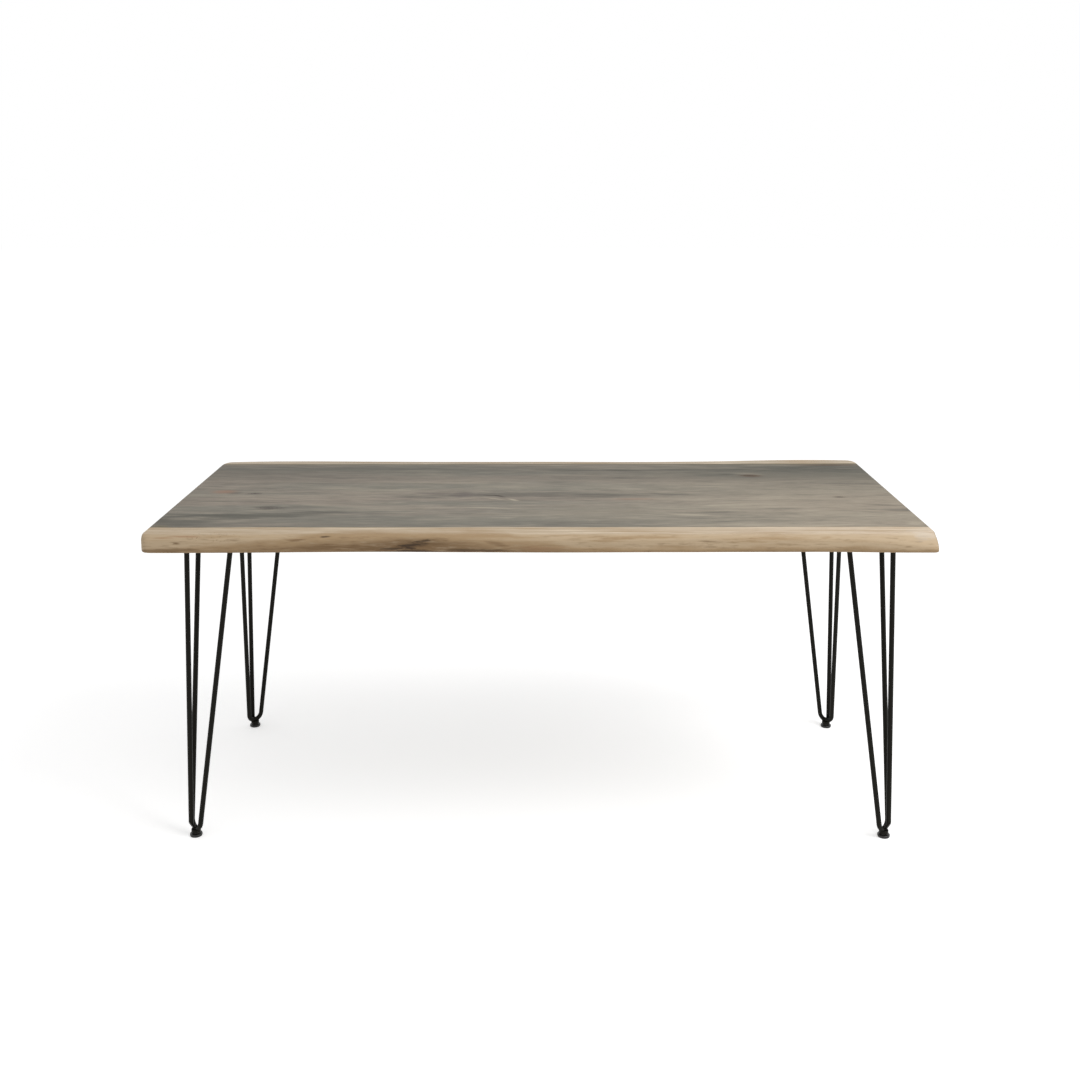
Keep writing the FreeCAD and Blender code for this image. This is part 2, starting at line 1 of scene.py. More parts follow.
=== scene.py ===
# %% [markdown]
# # A live-edge dining table on hairpin legs
# The table is one thick slab, sawn straight through a log so that both long edges keep the tree's
# own line, on four legs bent from round bar. The measured model comes from CAD and is loaded as a
# fixed frame in metres. Blender adds what the CAD leaves plain: the wood and its worn live edge,
# the welds, the threads, the screw sockets and the black powder coat.

# %% Load the measured table
import math

import bmesh
import bpy
from mathutils import Matrix, Vector, noise


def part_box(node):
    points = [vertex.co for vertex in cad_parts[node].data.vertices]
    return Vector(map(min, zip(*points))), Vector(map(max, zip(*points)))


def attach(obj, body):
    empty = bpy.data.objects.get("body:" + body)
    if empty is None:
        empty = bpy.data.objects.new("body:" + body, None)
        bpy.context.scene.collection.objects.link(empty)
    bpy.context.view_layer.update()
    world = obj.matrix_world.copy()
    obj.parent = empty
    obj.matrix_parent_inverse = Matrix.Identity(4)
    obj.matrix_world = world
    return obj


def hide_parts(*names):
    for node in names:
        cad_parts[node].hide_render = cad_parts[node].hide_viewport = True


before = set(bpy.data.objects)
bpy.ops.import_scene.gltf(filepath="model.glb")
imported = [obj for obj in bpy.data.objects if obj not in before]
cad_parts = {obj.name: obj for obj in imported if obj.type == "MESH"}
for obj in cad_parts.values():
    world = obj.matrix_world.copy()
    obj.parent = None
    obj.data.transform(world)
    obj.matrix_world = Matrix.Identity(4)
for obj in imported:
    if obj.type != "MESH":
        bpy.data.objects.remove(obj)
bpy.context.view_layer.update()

# %% [markdown]
# ## Finishing a piece
# Every piece is shaped as a bmesh and then handed over in the same way. Its faces are turned
# outwards, its object stays at the origin, it gets one material, and it rides on a CAD body so that
# it follows the joints. A piece that stands for a CAD node also hides it. Shading is smooth except
# across sharp edges.

# %% Hand a shaped mesh over as a piece
SHARP_ANGLE = math.radians(38)


def mesh_from(name, shape):
    """A mesh made from a bmesh, which is then freed."""
    mesh = bpy.data.meshes.new(name)
    shape.to_mesh(mesh)
    shape.free()
    return mesh


def show(name, data):
    """A new object in the scene."""
    thing = bpy.data.objects.new(name, data)
    bpy.context.scene.collection.objects.link(thing)
    return thing


def finish_piece(name, shape, body, slot, material, *nodes):
    """Makes a piece from a bmesh, rides it on a body and lets it stand for its nodes."""
    bmesh.ops.recalc_face_normals(shape, faces=shape.faces)
    for face in shape.faces:
        face.smooth = True
    mesh = mesh_from(name, shape)
    mesh.set_sharp_from_angle(angle=SHARP_ANGLE)
    mesh.materials.append(material)
    piece = show(name, mesh)
    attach(piece, body)
    if nodes:
        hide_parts(*nodes)
    print(name, "has", len(mesh.polygons), "faces")


# %% [markdown]
# ## A small kit for node materials
# A procedural material is a sum in which each node is one step. Short helpers, which find the node
# tree from a socket they are given, keep it readable: `calc` is one step of arithmetic, `fade` a
# soft step, `blend` mixes two colours and `streaks` is noise stretched along the grain. All patterns
# read Object coordinates, which are metres here because every piece sits at the origin.

# %% Helpers for node materials
def screen(red, green, blue):
    """A colour as a screen shows it, turned into the linear values that shaders use."""
    def linear(level):
        level /= 255
        return level / 12.92 if level < 0.04045 else ((level + 0.055) / 1.055) ** 2.4
    return linear(red), linear(green), linear(blue), 1.0


def new_material(name):
    """An empty node material with one Principled shader."""
    material = bpy.data.materials.new(name)
    material.use_nodes = True
    tree = material.node_tree
    tree.nodes.clear()
    output = tree.nodes.new("ShaderNodeOutputMaterial")
    shader = tree.nodes.new("ShaderNodeBsdfPrincipled")
    tree.links.new(shader.outputs["BSDF"], output.inputs["Surface"])
    return material, tree, shader


def tree_of(*values):
    """The node tree to which the first socket among some values belongs."""
    return next(value.id_data for value in values if isinstance(value, bpy.types.NodeSocket))


def feed(socket, value):
    """Links a socket to another, or sets a plain value on it."""
    if isinstance(value, bpy.types.NodeSocket):
        value.id_data.links.new(value, socket)
    else:
        socket.default_value = value


def fill(node, values):
    """Feeds several inputs of a node by their names."""
    for name, value in values.items():
        feed(node.inputs[name], value)


def calc(operation, *values):
    """One step of arithmetic."""
    node = tree_of(*values).nodes.new("ShaderNodeMath")
    node.operation = operation
    for socket, value in zip(node.inputs, values):
        feed(socket, value)
    return node.outputs["Value"]


def fade(value, start, end, low=0.0, high=1.0):
    """A soft step from low at start to high at end."""
    node = value.id_data.nodes.new("ShaderNodeMapRange")
    node.interpolation_type = "SMOOTHSTEP"
    fill(node, {"Value": value, "From Min": start, "From Max": end, "To Min": low, "To Max": high})
    return node.outputs["Result"]


def blend(factor, first, second, mode="MIX"):
    """Two colours mixed by a factor."""
    node = tree_of(factor, first, second).nodes.new("ShaderNodeMix")
    node.data_type = "RGBA"
    node.blend_type = mode
    colours = [socket for socket in node.inputs if socket.type == "RGBA"]
    feed(node.inputs["Factor"], factor)
    feed(colours[0], first)
    feed(colours[1], second)
    return [socket for socket in node.outputs if socket.type == "RGBA"][0]


def tint(colour, layer, start, end, strength, second):
    """A colour with a second one laid over it where a layer runs from start to end."""
    return blend(fade(layer, start, end, 0.0, strength), colour, second)


def streaks(place, stretch, detail=3.0, roughness=0.55, distortion=0.0):
    """Noise whose three counts per metre set how far it is drawn out along each axis."""
    mapping = place.id_data.nodes.new("ShaderNodeMapping")
    fill(mapping, {"Vector": place, "Scale": stretch})
    node = place.id_data.nodes.new("ShaderNodeTexNoise")
    fill(node, {
        "Vector": mapping.outputs["Vector"], "Scale": 1.0, "Detail": detail, "Roughness": roughness,
        "Distortion": distortion,
    })
    return node.outputs["Fac"]


def sway(layer, size):
    """Noise between 0 and 1, turned into a shift of up to half a size to either side."""
    return calc("MULTIPLY_ADD", layer, size, -size / 2)


def object_place(tree):
    """The Object coordinates, whole and split into x, y and z."""
    coordinates = tree.nodes.new("ShaderNodeTexCoord")
    split = tree.nodes.new("ShaderNodeSeparateXYZ")
    feed(split.inputs["Vector"], coordinates.outputs["Object"])
    return coordinates.outputs["Object"], *split.outputs


def joined(x, y, z):
    """Three values joined into one place, which a Mapping node then hands to the textures."""
    tree = tree_of(x, y, z)
    node = tree.nodes.new("ShaderNodeCombineXYZ")
    for socket, value in zip(node.inputs, (x, y, z)):
        feed(socket, value)
    mapping = tree.nodes.new("ShaderNodeMapping")
    feed(mapping.inputs["Vector"], node.outputs["Vector"])
    return mapping.outputs["Vector"]


def profile(value, points):
    """A smooth curve through a few (value, level) points."""
    first, last = points[0][0], points[-1][0]
    low, high = min(level for _, level in points), max(level for _, level in points)
    nodes = value.id_data.nodes
    share = nodes.new("ShaderNodeMapRange")
    fill(share, {"Value": value, "From Min": first, "From Max": last})
    node = nodes.new("ShaderNodeFloatCurve")
    feed(node.inputs["Value"], share.outputs["Result"])
    curve = node.mapping.curves[0]
    spots = [
        ((place - first) / (last - first), (level - low) / (high - low)) for place, level in points
    ]
    curve.points[0].location = spots[0]
    curve.points[1].location = spots[-1]
    for spot in spots[1:-1]:
        curve.points.new(*spot)
    node.mapping.update()
    return calc("MULTIPLY_ADD", node.outputs["Value"], high - low, low)


MARK_REACH = 4.0
MARK_RIM, MARK_CORE = 1.15, 0.15


def mark_gap(sheet, x, y, half_x, half_y, turn=0.0):
    """How far a place on a flat sheet lies from an oval mark: 0 in its middle and 1 at its rim."""
    mapping = sheet.id_data.nodes.new("ShaderNodeMapping")
    mapping.vector_type = "TEXTURE"
    fill(mapping, {
        "Vector": sheet, "Location": (x, y, 0), "Rotation": (0, 0, turn),
        "Scale": (half_x * MARK_REACH, half_y * MARK_REACH, 1),
    })
    ball = sheet.id_data.nodes.new("ShaderNodeTexGradient")
    ball.gradient_type = "SPHERICAL"
    feed(ball.inputs["Vector"], mapping.outputs["Vector"])
    return calc("MULTIPLY_ADD", ball.outputs["Fac"], -MARK_REACH, MARK_REACH)


def set_marks(colour, sheet, ragged, marks):
    """Sets oval marks with ragged rims into a colour, one after another."""
    for x, y, half_x, half_y, turn, strength, second in marks:
        gap = calc("ADD", mark_gap(sheet, x, y, half_x, half_y, turn), ragged)
        colour = tint(colour, gap, MARK_RIM, MARK_CORE, strength, second)
    return colour


def raise_grain(shader, height, strength, distance):
    """Lets a pattern stand up from the surface as bump."""
    node = height.id_data.nodes.new("ShaderNodeBump")
    fill(node, {"Strength": strength, "Distance": distance, "Height": height})
    feed(shader.inputs["Normal"], node.outputs["Normal"])


print("material kit ready")

# %% [markdown]
# ## The slab's line
# A live edge is the log's outside, so it wanders by some millimetres and its upper arris opens into
# a broad wane where the log tapered off. The same few shares that shape the CAD slab are repeated
# here, at stations from one end to the other, and a smooth curve runs through them.

# %% Measures of the slab
slab_low, slab_high = (Vector(corner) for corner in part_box("tabletop_slab"))
HALF_LENGTH = slab_high.x
SLAB_TOP = slab_high.z
THICKNESS = slab_high.z - slab_low.z
HALF_WIDTH = 0.408
EDGE_ROUND, EDGE_DROP = 0.012, 0.013
CORNER_WANE, CORNER_DROP = 0.046, 0.033
UNDER_ROUND, END_EASE = 0.005, 0.0025
CORNER_ROUND, CORNER_RUN = 0.024, 0.018
FRONT, BACK = -1, 1

STATIONS = (-1, -0.9, -0.7, -0.45, -0.2, 0.05, 0.3, 0.55, 0.75, 0.9, 1)
WAVE_DEPTH = {FRONT: 0.013, BACK: 0.032}
WAVES = {
    FRONT: (0, 0.03, 0.38, 0.81, 0.7, 0.54, 0.77, 0.96, 1, 0.65, 0.6),
    BACK: (0.95, 0.86, 0.82, 0.96, 1, 0.92, 0.98, 0.72, 0.19, 0.03, 0),
}
WANES = {
    FRONT: (0, 0, 0, 0, 0, 0, 0, 0.03, 0.12, 0.4, 1),
    BACK: (0.3, 0.08, 0, 0, 0, 0, 0, 0, 0, 0.08, 0.3),
}
CORNERS = {FRONT: (0.9, 0.15), BACK: (1.4, 1.4)}


def along(values, share):
    """A smooth curve through one value for each station, read at a share of the half length."""
    last = len(STATIONS) - 1
    step = max(i for i in range(last) if STATIONS[i] <= share or i == 0)
    start, end = STATIONS[step], STATIONS[step + 1]
    span = end - start
    before, after = max(step - 1, 0), min(step + 2, last)
    rise_in = (values[step + 1] - values[before]) / (end - STATIONS[before])
    rise_out = (values[after] - values[step]) / (STATIONS[after] - start)
    t = (share - start) / span
    near = (1 + 2 * t) * (1 - t) ** 2 * values[step] + t * (1 - t) ** 2 * span * rise_in
    far = t * t * (3 - 2 * t) * values[step + 1] + t * t * (t - 1) * span * rise_out
    return near + far


def rounding(depth, width, drop):
    """How far a parabolic round stands in from the face at a depth below its top."""
    return width * (1 - depth / drop) ** 2 if depth < drop else 0.0


def corner_inset(side, share):
    """How far a corner's round in plan stands in at a place along the edge."""
    step = min((1 - abs(share)) * HALF_LENGTH / CORNER_RUN, 1)
    corner = CORNERS[side][0] if share < 0 else CORNERS[side][1]
    return corner * CORNER_ROUND * (1 - math.sqrt(1 - (1 - step) ** 2))


def edge_reach(side, share, depth):
    """How far the live edge stands out from the middle at a place along it and a depth."""
    wane = min(max(along(WANES[side], share), 0), 1)
    width = EDGE_ROUND + (CORNER_WANE - EDGE_ROUND) * wane
    drop = min(EDGE_DROP + (CORNER_DROP - EDGE_DROP) * wane, THICKNESS - UNDER_ROUND)
    inset = rounding(depth, width, drop) + rounding(THICKNESS - depth, UNDER_ROUND, UNDER_ROUND)
    line = HALF_WIDTH - WAVE_DEPTH[side] * along(WAVES[side], share) - corner_inset(side, share)
    return line - inset


print("front edge at the middle", round(edge_reach(FRONT, 0, 0), 4))

# %% [markdown]
# ## Sawing the blank
# A slab starts as a plain board: a cube of the slab's thickness, cut into columns along the grain and
# rows across it. They lie close together near arrises and ends, which gives the live edge enough
# points to move, and wide apart in the flat middle. Length and width run from -1 to 1 until the next
# step gives them their measures.

# %% Saw the blank and divide it into rows
COLUMNS, WIDTH_ROWS, DEPTH_ROWS = 251, 22, 19
COLUMN_CROWDING, ROW_CROWDING = 1.35, 1.9
NEARLY_PARALLEL = 0.99


def edges_along(shape, axis):
    """The edges of a blank that run along one axis."""
    found = []
    for edge in shape.edges:
        run = edge.verts[1].co - edge.verts[0].co
        if abs(run[axis]) > NEARLY_PARALLEL * run.length:
            found.append(edge)
    return found


slab = bmesh.new()
bmesh.ops.create_cube(slab, size=1)
bmesh.ops.scale(slab, vec=(2, 2, THICKNESS), verts=slab.verts)
bmesh.ops.translate(slab, vec=(0, 0, SLAB_TOP - THICKNESS / 2), verts=slab.verts)
for axis, cuts in enumerate((COLUMNS, WIDTH_ROWS, DEPTH_ROWS)):
    bmesh.ops.subdivide_edges(slab, edges=edges_along(slab, axis), cuts=cuts, use_grid_fill=True)
for vert in slab.verts:
    depth_share = (SLAB_TOP - vert.co.z) / THICKNESS
    vert.co.z = SLAB_TOP - THICKNESS * depth_share ** 2 * (3 - 2 * depth_share)
    vert.co.x = math.copysign(1 - max(1 - abs(vert.co.x), 0) ** COLUMN_CROWDING, vert.co.x)
    vert.co.y = math.copysign(1 - max(1 - abs(vert.co.y), 0) ** ROW_CROWDING, vert.co.y)
print("blank has", len(slab.faces), "faces")

# %% [markdown]
# ## Shaping the live edges
# Each row is drawn in to the edge's line at its own depth, so the flat top follows the edge too. Peeled
# bark leaves shallow ridges and hollows that run with the grain, and a few deeper dents where a twig
# or a bark pocket was. Those only cut into the edge, so the slab never grows past its measured size.
# The two ends are sawn square, and their sanded arrises draw back by a few millimetres.

# %% Draw the blank in to the tree's line
RELIEF_DEPTH = 0.0016
RELIEF_COUNT = Vector((4.2, 1.0, 46.0))
ON_FACE, NEAR_FACE = 0.999, 0.97
ARRIS_DEPTH, CLEAR_OF_END = 0.0012, 0.99
# edge, middle along it and below the top, half length, half height, depth
DENTS = (
    (FRONT, -0.265, 0.019, 0.075, 0.015, 0.0032),
    (FRONT, -0.480, 0.006, 0.022, 0.006, 0.0010),
    (FRONT, -0.806, 0.020, 0.016, 0.008, 0.0010),
    (FRONT, 0.120, 0.027, 0.120, 0.012, 0.0016),
    (FRONT, 0.362, 0.014, 0.045, 0.008, 0.0012),
    (BACK, -0.520, 0.022, 0.090, 0.013, 0.0026),
    (BACK, 0.260, 0.016, 0.060, 0.010, 0.0018),
)


def relief(side, x, depth):
    """How deep the peeled surface lies under the edge's smooth line."""
    ridges = noise.fractal(Vector((x, 9.0 * side, depth)) * RELIEF_COUNT, 1.0, 2.0, 4)
    inset = RELIEF_DEPTH * min(max(0.5 + 0.5 * ridges, 0), 1)
    for edge, centre, level, half_x, half_z, deep in DENTS:
        if edge == side:
            away = ((x - centre) / half_x) ** 2 + ((depth - level) / half_z) ** 2
            inset += deep * max(1 - away, 0) ** 2
    return inset


arris = []
for vert in slab.verts:
    side = FRONT if vert.co.y < 0 else BACK
    share, out = vert.co.x, abs(vert.co.y)
    depth = SLAB_TOP - vert.co.z
    ease = rounding(depth, END_EASE, END_EASE) + rounding(THICKNESS - depth, END_EASE, END_EASE)
    vert.co.x = share * (HALF_LENGTH - ease)
    reach = edge_reach(side, share, depth)
    if out > ON_FACE:
        reach -= relief(side, vert.co.x, depth)
    near_arris = min(depth, THICKNESS - depth) < ARRIS_DEPTH
    if out > NEAR_FACE and near_arris and abs(share) < CLEAR_OF_END:
        arris.append(vert)
    vert.co.y = side * out * reach
for _ in range(2):
    bmesh.ops.smooth_vert(slab, verts=arris, factor=0.5, use_axis_y=True, use_axis_z=True)
print("arris points eased", len(arris))

# %% [markdown]
# ## Heartwood and sapwood
# The slab's middle is grey-brown heartwood and its two long edges are cream sapwood, with a sharp
# line between them where the tree stopped feeding the older rings. The grain runs along the table,
# parts round the knots, and carries darker bands where minerals stained it. Stretched noise draws
# the streaks, and short lists place the knots and bands in metres from the table's middle.

# %% Start the wood: coordinates and grain that parts round the knots
wood, tree, wood_shader = new_material("live_edge_wood")
place, wood_x, wood_y, wood_z = object_place(tree)

# middle along and across the table, half length, half width
KNOTS = (
    (-0.654, -0.155, 0.026, 0.015),
    (-0.720, -0.011, 0.020, 0.009),
    (0.560, 0.194, 0.024, 0.013),
    (0.747, -0.043, 0.017, 0.008),
)
SWIRL = (-0.192, -0.020, 0.036, 0.026)
FLOW_LENGTH, FLOW_WIDTH, FLOW_PULL = 5.0, 3.4, 0.75
DRIFT = 0.065

top_sheet = joined(wood_x, wood_y, 0.0)
drift = calc("SUBTRACT", streaks(place, (1.8, 4.5, 2.5), detail=2.0), 0.5)
grain_y = calc("MULTIPLY_ADD", drift, DRIFT, wood_y)
for knot_x, knot_y, half_x, half_y in KNOTS + (SWIRL,):
    gap = mark_gap(top_sheet, knot_x, knot_y, half_x * FLOW_LENGTH, half_y * FLOW_WIDTH)
    pull = fade(gap, 1.0, 0.0, 0.0, FLOW_PULL)
    side_step = calc("SUBTRACT", wood_y, knot_y)
    grain_y = calc("SUBTRACT", grain_y, calc("MULTIPLY", pull, side_step))
grain = joined(wood_x, grain_y, wood_z)
print("grain parts round", len(KNOTS), "knots and a swirl")

# %% [markdown]
# ## Colouring the heartwood
# Layers of streaks build the heartwood from coarse to fine: broad zones that drift between a cool
# green-grey and a warm grey-brown, bands some centimetres wide, shorter lines, small flecks, and
# fibres. Each layer paints a pale and a dark share. The wood turns paler and warmer towards the
# right-hand end.

# %% Colour the heartwood
HEART_COOL = screen(123, 119, 108)
HEART_WARM = screen(136, 126, 114)
HEART_TAN = screen(150, 139, 122)
HEART_DARK = screen(86, 82, 73)
HEART_DEEP = screen(70, 68, 59)
HEART_PALE = screen(176, 165, 146)

zones = streaks(grain, (0.9, 10.0, 7.0))
bands = streaks(grain, (2.6, 19.0, 15.0), detail=4.0, roughness=0.54)
lines = streaks(grain, (8.0, 46.0, 34.0), roughness=0.52)
flecks = streaks(grain, (30.0, 170.0, 130.0), detail=2.0)
fibres = streaks(grain, (11.0, 330.0, 240.0), detail=4.0, roughness=0.65)
pores = streaks(grain, (46.0, 900.0, 800.0), detail=2.0, roughness=0.5)

heart = blend(fade(zones, 0.41, 0.59), HEART_COOL, HEART_WARM)
heart = tint(heart, wood_x, -0.10, 0.75, 0.68, HEART_TAN)
for layer, pale, dark in (
    (bands, 0.48, 0.76), (lines, 0.32, 0.46), (flecks, 0.24, 0.30), (fibres, 0.44, 0.56),
):
    heart = tint(heart, layer, 0.50, 0.78, pale, HEART_PALE)
    heart = tint(heart, layer, 0.49, 0.22, dark, HEART_DARK)
print("heartwood streaked")

# %% [markdown]
# ## Bands, knots and figure
# Dark mineral bands lie along the back and in the front left corner. Knots are lens-shaped, because
# a branch was cut at a slant, with the branch's own rings round a dark core. Round the middle the
# grain swirls: a purple-grey patch, a slit and a few pale curls. Each is one oval with a ragged rim.

# %% Set the bands, knots and figure
MINERAL = screen(83, 81, 71)
COOL_GREY = screen(107, 104, 94)
KNOT_GREY = screen(62, 54, 46)
KNOT_BROWN = screen(76, 56, 38)
KNOT_CORE = screen(46, 38, 31)
KNOT_RINGS, KNOT_FRAY = 17.0, 0.80
KNOT_RED = screen(146, 112, 90)
PURPLE = screen(92, 83, 78)
OLIVE = screen(104, 96, 66)
BACK_BAND_Y, BACK_BAND_RIM, BACK_BAND_CORE = 0.272, 0.070, 0.012
# middle along and across the table, half length, half width, turn, strength, colour
TOP_BANDS = (
    (-0.48, -0.285, 0.80, 0.085, 0.02, 0.48, COOL_GREY),
    (-0.02, -0.026, 0.44, 0.032, 0.0, 0.58, HEART_DARK),
    (0.12, -0.200, 0.24, 0.090, 0.0, 0.30, HEART_TAN),
    (-0.86, -0.280, 0.26, 0.070, 0.15, 0.75, MINERAL),
    (-0.68, -0.236, 0.26, 0.030, 0.17, 0.70, MINERAL),
    (-0.89, -0.264, 0.11, 0.032, 0.15, 0.60, HEART_DEEP),
    (0.20, 0.258, 0.32, 0.016, 0.0, 0.70, HEART_DEEP),
    (-0.40, 0.272, 0.28, 0.018, -0.05, 0.60, MINERAL),
    (0.70, 0.266, 0.26, 0.048, 0.0, 0.55, HEART_DEEP),
    (0.47, 0.200, 0.12, 0.022, 0.0, 0.50, MINERAL),
    (0.438, -0.191, 0.080, 0.012, 0.05, 0.70, MINERAL),
    (0.10, -0.022, 0.110, 0.009, 0.03, 0.70, HEART_DARK),
)
TOP_MARKS = (
    (-0.864, -0.322, 0.026, 0.008, 0.0, 0.65, OLIVE),
    (0.80, 0.326, 0.13, 0.016, 0.0, 0.80, KNOT_BROWN),
    (-0.654, -0.155, 0.044, 0.023, 0.05, 0.72, KNOT_GREY),
    (-0.590, -0.150, 0.090, 0.007, 0.05, 0.45, HEART_DARK),
    (-0.718, -0.011, 0.024, 0.012, 0.15, 0.50, KNOT_GREY),
    (-0.768, -0.004, 0.030, 0.008, 0.1, 0.50, KNOT_GREY),
    (-0.803, 0.006, 0.040, 0.024, 0.0, 0.70, KNOT_RED),
    (0.556, 0.206, 0.052, 0.024, -0.1, 0.30, HEART_PALE),
    (0.562, 0.193, 0.040, 0.020, -0.1, 0.98, KNOT_BROWN),
    (0.515, 0.206, 0.050, 0.014, -0.1, 0.60, HEART_DEEP),
    (0.747, -0.043, 0.018, 0.009, -0.2, 0.45, KNOT_BROWN),
    (0.830, -0.121, 0.044, 0.007, -0.2, 0.45, KNOT_GREY),
    (-0.192, -0.022, 0.040, 0.036, 0.5, 0.70, PURPLE),
    (-0.27, -0.010, 0.060, 0.012, -0.1, 0.55, PURPLE),
    (-0.102, -0.036, 0.024, 0.008, -0.6, 1.0, KNOT_GREY),
    (-0.130, -0.026, 0.034, 0.008, -0.3, 0.60, KNOT_GREY),
    (-0.066, -0.074, 0.022, 0.008, -0.7, 0.85, HEART_PALE),
    (-0.11, -0.064, 0.036, 0.006, -0.4, 0.60, HEART_PALE),
    (-0.12, -0.154, 0.090, 0.007, -0.1, 0.70, HEART_PALE),
    (0.236, -0.065, 0.070, 0.012, 0.0, 0.45, KNOT_RED),
    (0.356, -0.217, 0.066, 0.009, -0.1, 0.70, HEART_PALE),
    (0.866, -0.292, 0.028, 0.024, 0.0, 0.50, HEART_PALE),
)
ragged = calc("ADD", sway(bands, 1.6), sway(lines, 1.4))
frayed = sway(fibres, 1.2)

beside = calc("ADD", wood_y, sway(bands, 0.05))
back_gap = calc("ABSOLUTE", calc("SUBTRACT", beside, BACK_BAND_Y))
back_strength = profile(wood_x, (
    (-0.89, 0.30), (-0.69, 0.42), (-0.39, 0.38), (-0.06, 0.28), (0.27, 0.38), (0.52, 0.70),
    (0.89, 0.86),
))
back_band = fade(back_gap, BACK_BAND_RIM, BACK_BAND_CORE)
back_band = calc("MULTIPLY", back_band, back_strength)
back_band = calc("MULTIPLY", back_band, fade(lines, 0.62, 0.38, 0.60, 1.30))
heart = blend(back_band, heart, MINERAL)
shade_across = profile(beside, (
    (-0.08, 0.0), (0.03, 0.16), (0.10, 0.30), (0.16, 0.80), (0.215, 1.0), (0.27, 0.70),
    (0.36, 0.40),
))
shade_along = profile(wood_x, (
    (-0.89, 0.46), (-0.55, 0.42), (-0.25, 0.34), (0.10, 0.38), (0.40, 0.54), (0.60, 0.72),
    (0.89, 0.72),
))
heart = blend(calc("MULTIPLY", shade_across, shade_along), heart, MINERAL)
heart = set_marks(heart, top_sheet, ragged, TOP_BANDS)
heart = set_marks(heart, top_sheet, frayed, TOP_MARKS)
for knot_x, knot_y, half_x, half_y in KNOTS:
    gap = mark_gap(top_sheet, knot_x, knot_y, half_x, half_y)
    gap = calc("MULTIPLY_ADD", frayed, KNOT_FRAY, gap)
    rings = fade(calc("SINE", calc("MULTIPLY", gap, KNOT_RINGS)), -0.3, 1.0)
    ringed = calc("MULTIPLY", rings, fade(gap, 1.5, 0.4, 0.0, 0.45))
    heart = blend(ringed, heart, KNOT_CORE)
    heart = tint(heart, gap, 0.34, 0.10, 0.70, KNOT_CORE)
print("set", len(TOP_BANDS), "bands and", len(TOP_MARKS), "marks into the heartwood")

# %% [markdown]
# ## Colouring the sapwood
# The sapwood is cream on the flat top. Over the arris and down the peeled face it turns tan, then
# golden and brown: partly the colour that the inner bark left there, and partly painted shade that
# darkens the face towards the underside. That changes along the edge, so curves give where the gold
# and the brown begin and how strong the brown and its painted shade are. A place on the edge is
# found by how far along it lies and how low, measured over the rounded arris.

# %% Colour the sapwood from top to underside
SAP_CREAM = screen(192, 173, 147)
SAP_ROSE = screen(202, 184, 161)
SAP_PALE = screen(220, 204, 180)
# Painted highlight: the pale patch on the front right wane where it turns up to the light.
WANE_PAINTED_HIGHLIGHT = screen(214, 203, 188)
SAP_TAN = screen(190, 168, 138)
SAP_GOLD = screen(164, 137, 103)
SAP_BROWN = screen(116, 91, 63)
SAP_BACK = screen(180, 166, 146)
ARRIS_Y, ARRIS_SLOPE = 0.400, 0.29
# back edge: depths where gold and brown begin, and the brown's strength, partly painted shade
BACK_GOLD_AND_SHADE, BACK_BROWN, BACK_BROWN_AND_SHADE = 0.016, 0.020, 0.45


def front_or_back(on_front, front, back):
    """A value for the front edge and a plain one for the back edge."""
    return calc("MULTIPLY_ADD", on_front, calc("SUBTRACT", front, back), back)


depth = calc("SUBTRACT", SLAB_TOP, wood_z)
from_axis = calc("ABSOLUTE", wood_y)
low = calc("MULTIPLY_ADD", calc("SUBTRACT", from_axis, ARRIS_Y), ARRIS_SLOPE, depth)
edge_sheet = joined(wood_x, low, 0.0)
sap_streaks = streaks(place, (4.5, 60.0, 130.0), detail=4.0, roughness=0.62)
sap_flecks = streaks(place, (26.0, 120.0, 240.0), roughness=0.6)
sap_clouds = streaks(place, (9.0, 12.0, 42.0))

on_front = fade(wood_y, 0.10, -0.10)
# Depths below the arris where the gold and the brown begin, and the brown's strength; this darkening is
# partly inner-bark colour and partly painted shade on the lower face.
front_gold_and_shade = profile(wood_x, (
    (-0.89, 0.033), (-0.775, 0.028), (-0.69, 0.020), (-0.605, 0.011), (-0.55, 0.001),
    (-0.43, -0.011), (-0.36, -0.013), (-0.20, -0.013), (-0.12, -0.012), (-0.05, 0.002),
    (0.02, 0.014), (0.11, 0.026), (0.25, 0.027), (0.46, 0.026), (0.65, 0.027), (0.89, 0.031),
))
front_brown = profile(wood_x, (
    (-0.89, 0.034), (-0.775, 0.030), (-0.69, 0.024), (-0.605, 0.017), (-0.55, 0.014),
    (-0.43, 0.012), (-0.36, 0.006), (-0.28, 0.003), (-0.20, 0.008), (-0.12, 0.016), (-0.05, 0.019),
    (0.02, 0.021), (0.11, 0.029), (0.46, 0.026), (0.65, 0.025), (0.89, 0.032),
))
front_brown_and_shade = profile(wood_x, (
    (-0.89, 0.38), (-0.60, 0.46), (-0.45, 0.55), (-0.33, 0.80), (-0.22, 0.80), (-0.12, 0.60),
    (0.0, 0.55), (0.10, 0.42), (0.30, 0.36), (0.60, 0.34), (0.89, 0.28),
))
gold_and_shade_low = front_or_back(on_front, front_gold_and_shade, BACK_GOLD_AND_SHADE)
brown_low = front_or_back(on_front, front_brown, BACK_BROWN)
brown_and_shade_strength = front_or_back(on_front, front_brown_and_shade, BACK_BROWN_AND_SHADE)

cream = blend(fade(wood_x, 0.0, 0.85), SAP_CREAM, SAP_ROSE)
cream = blend(on_front, SAP_BACK, cream)
strip = streaks(place, (5.0, 95.0, 60.0), roughness=0.6)
cream = tint(cream, strip, 0.50, 0.69, 0.85, SAP_PALE)
cream = tint(cream, strip, 0.48, 0.30, 0.80, SAP_GOLD)
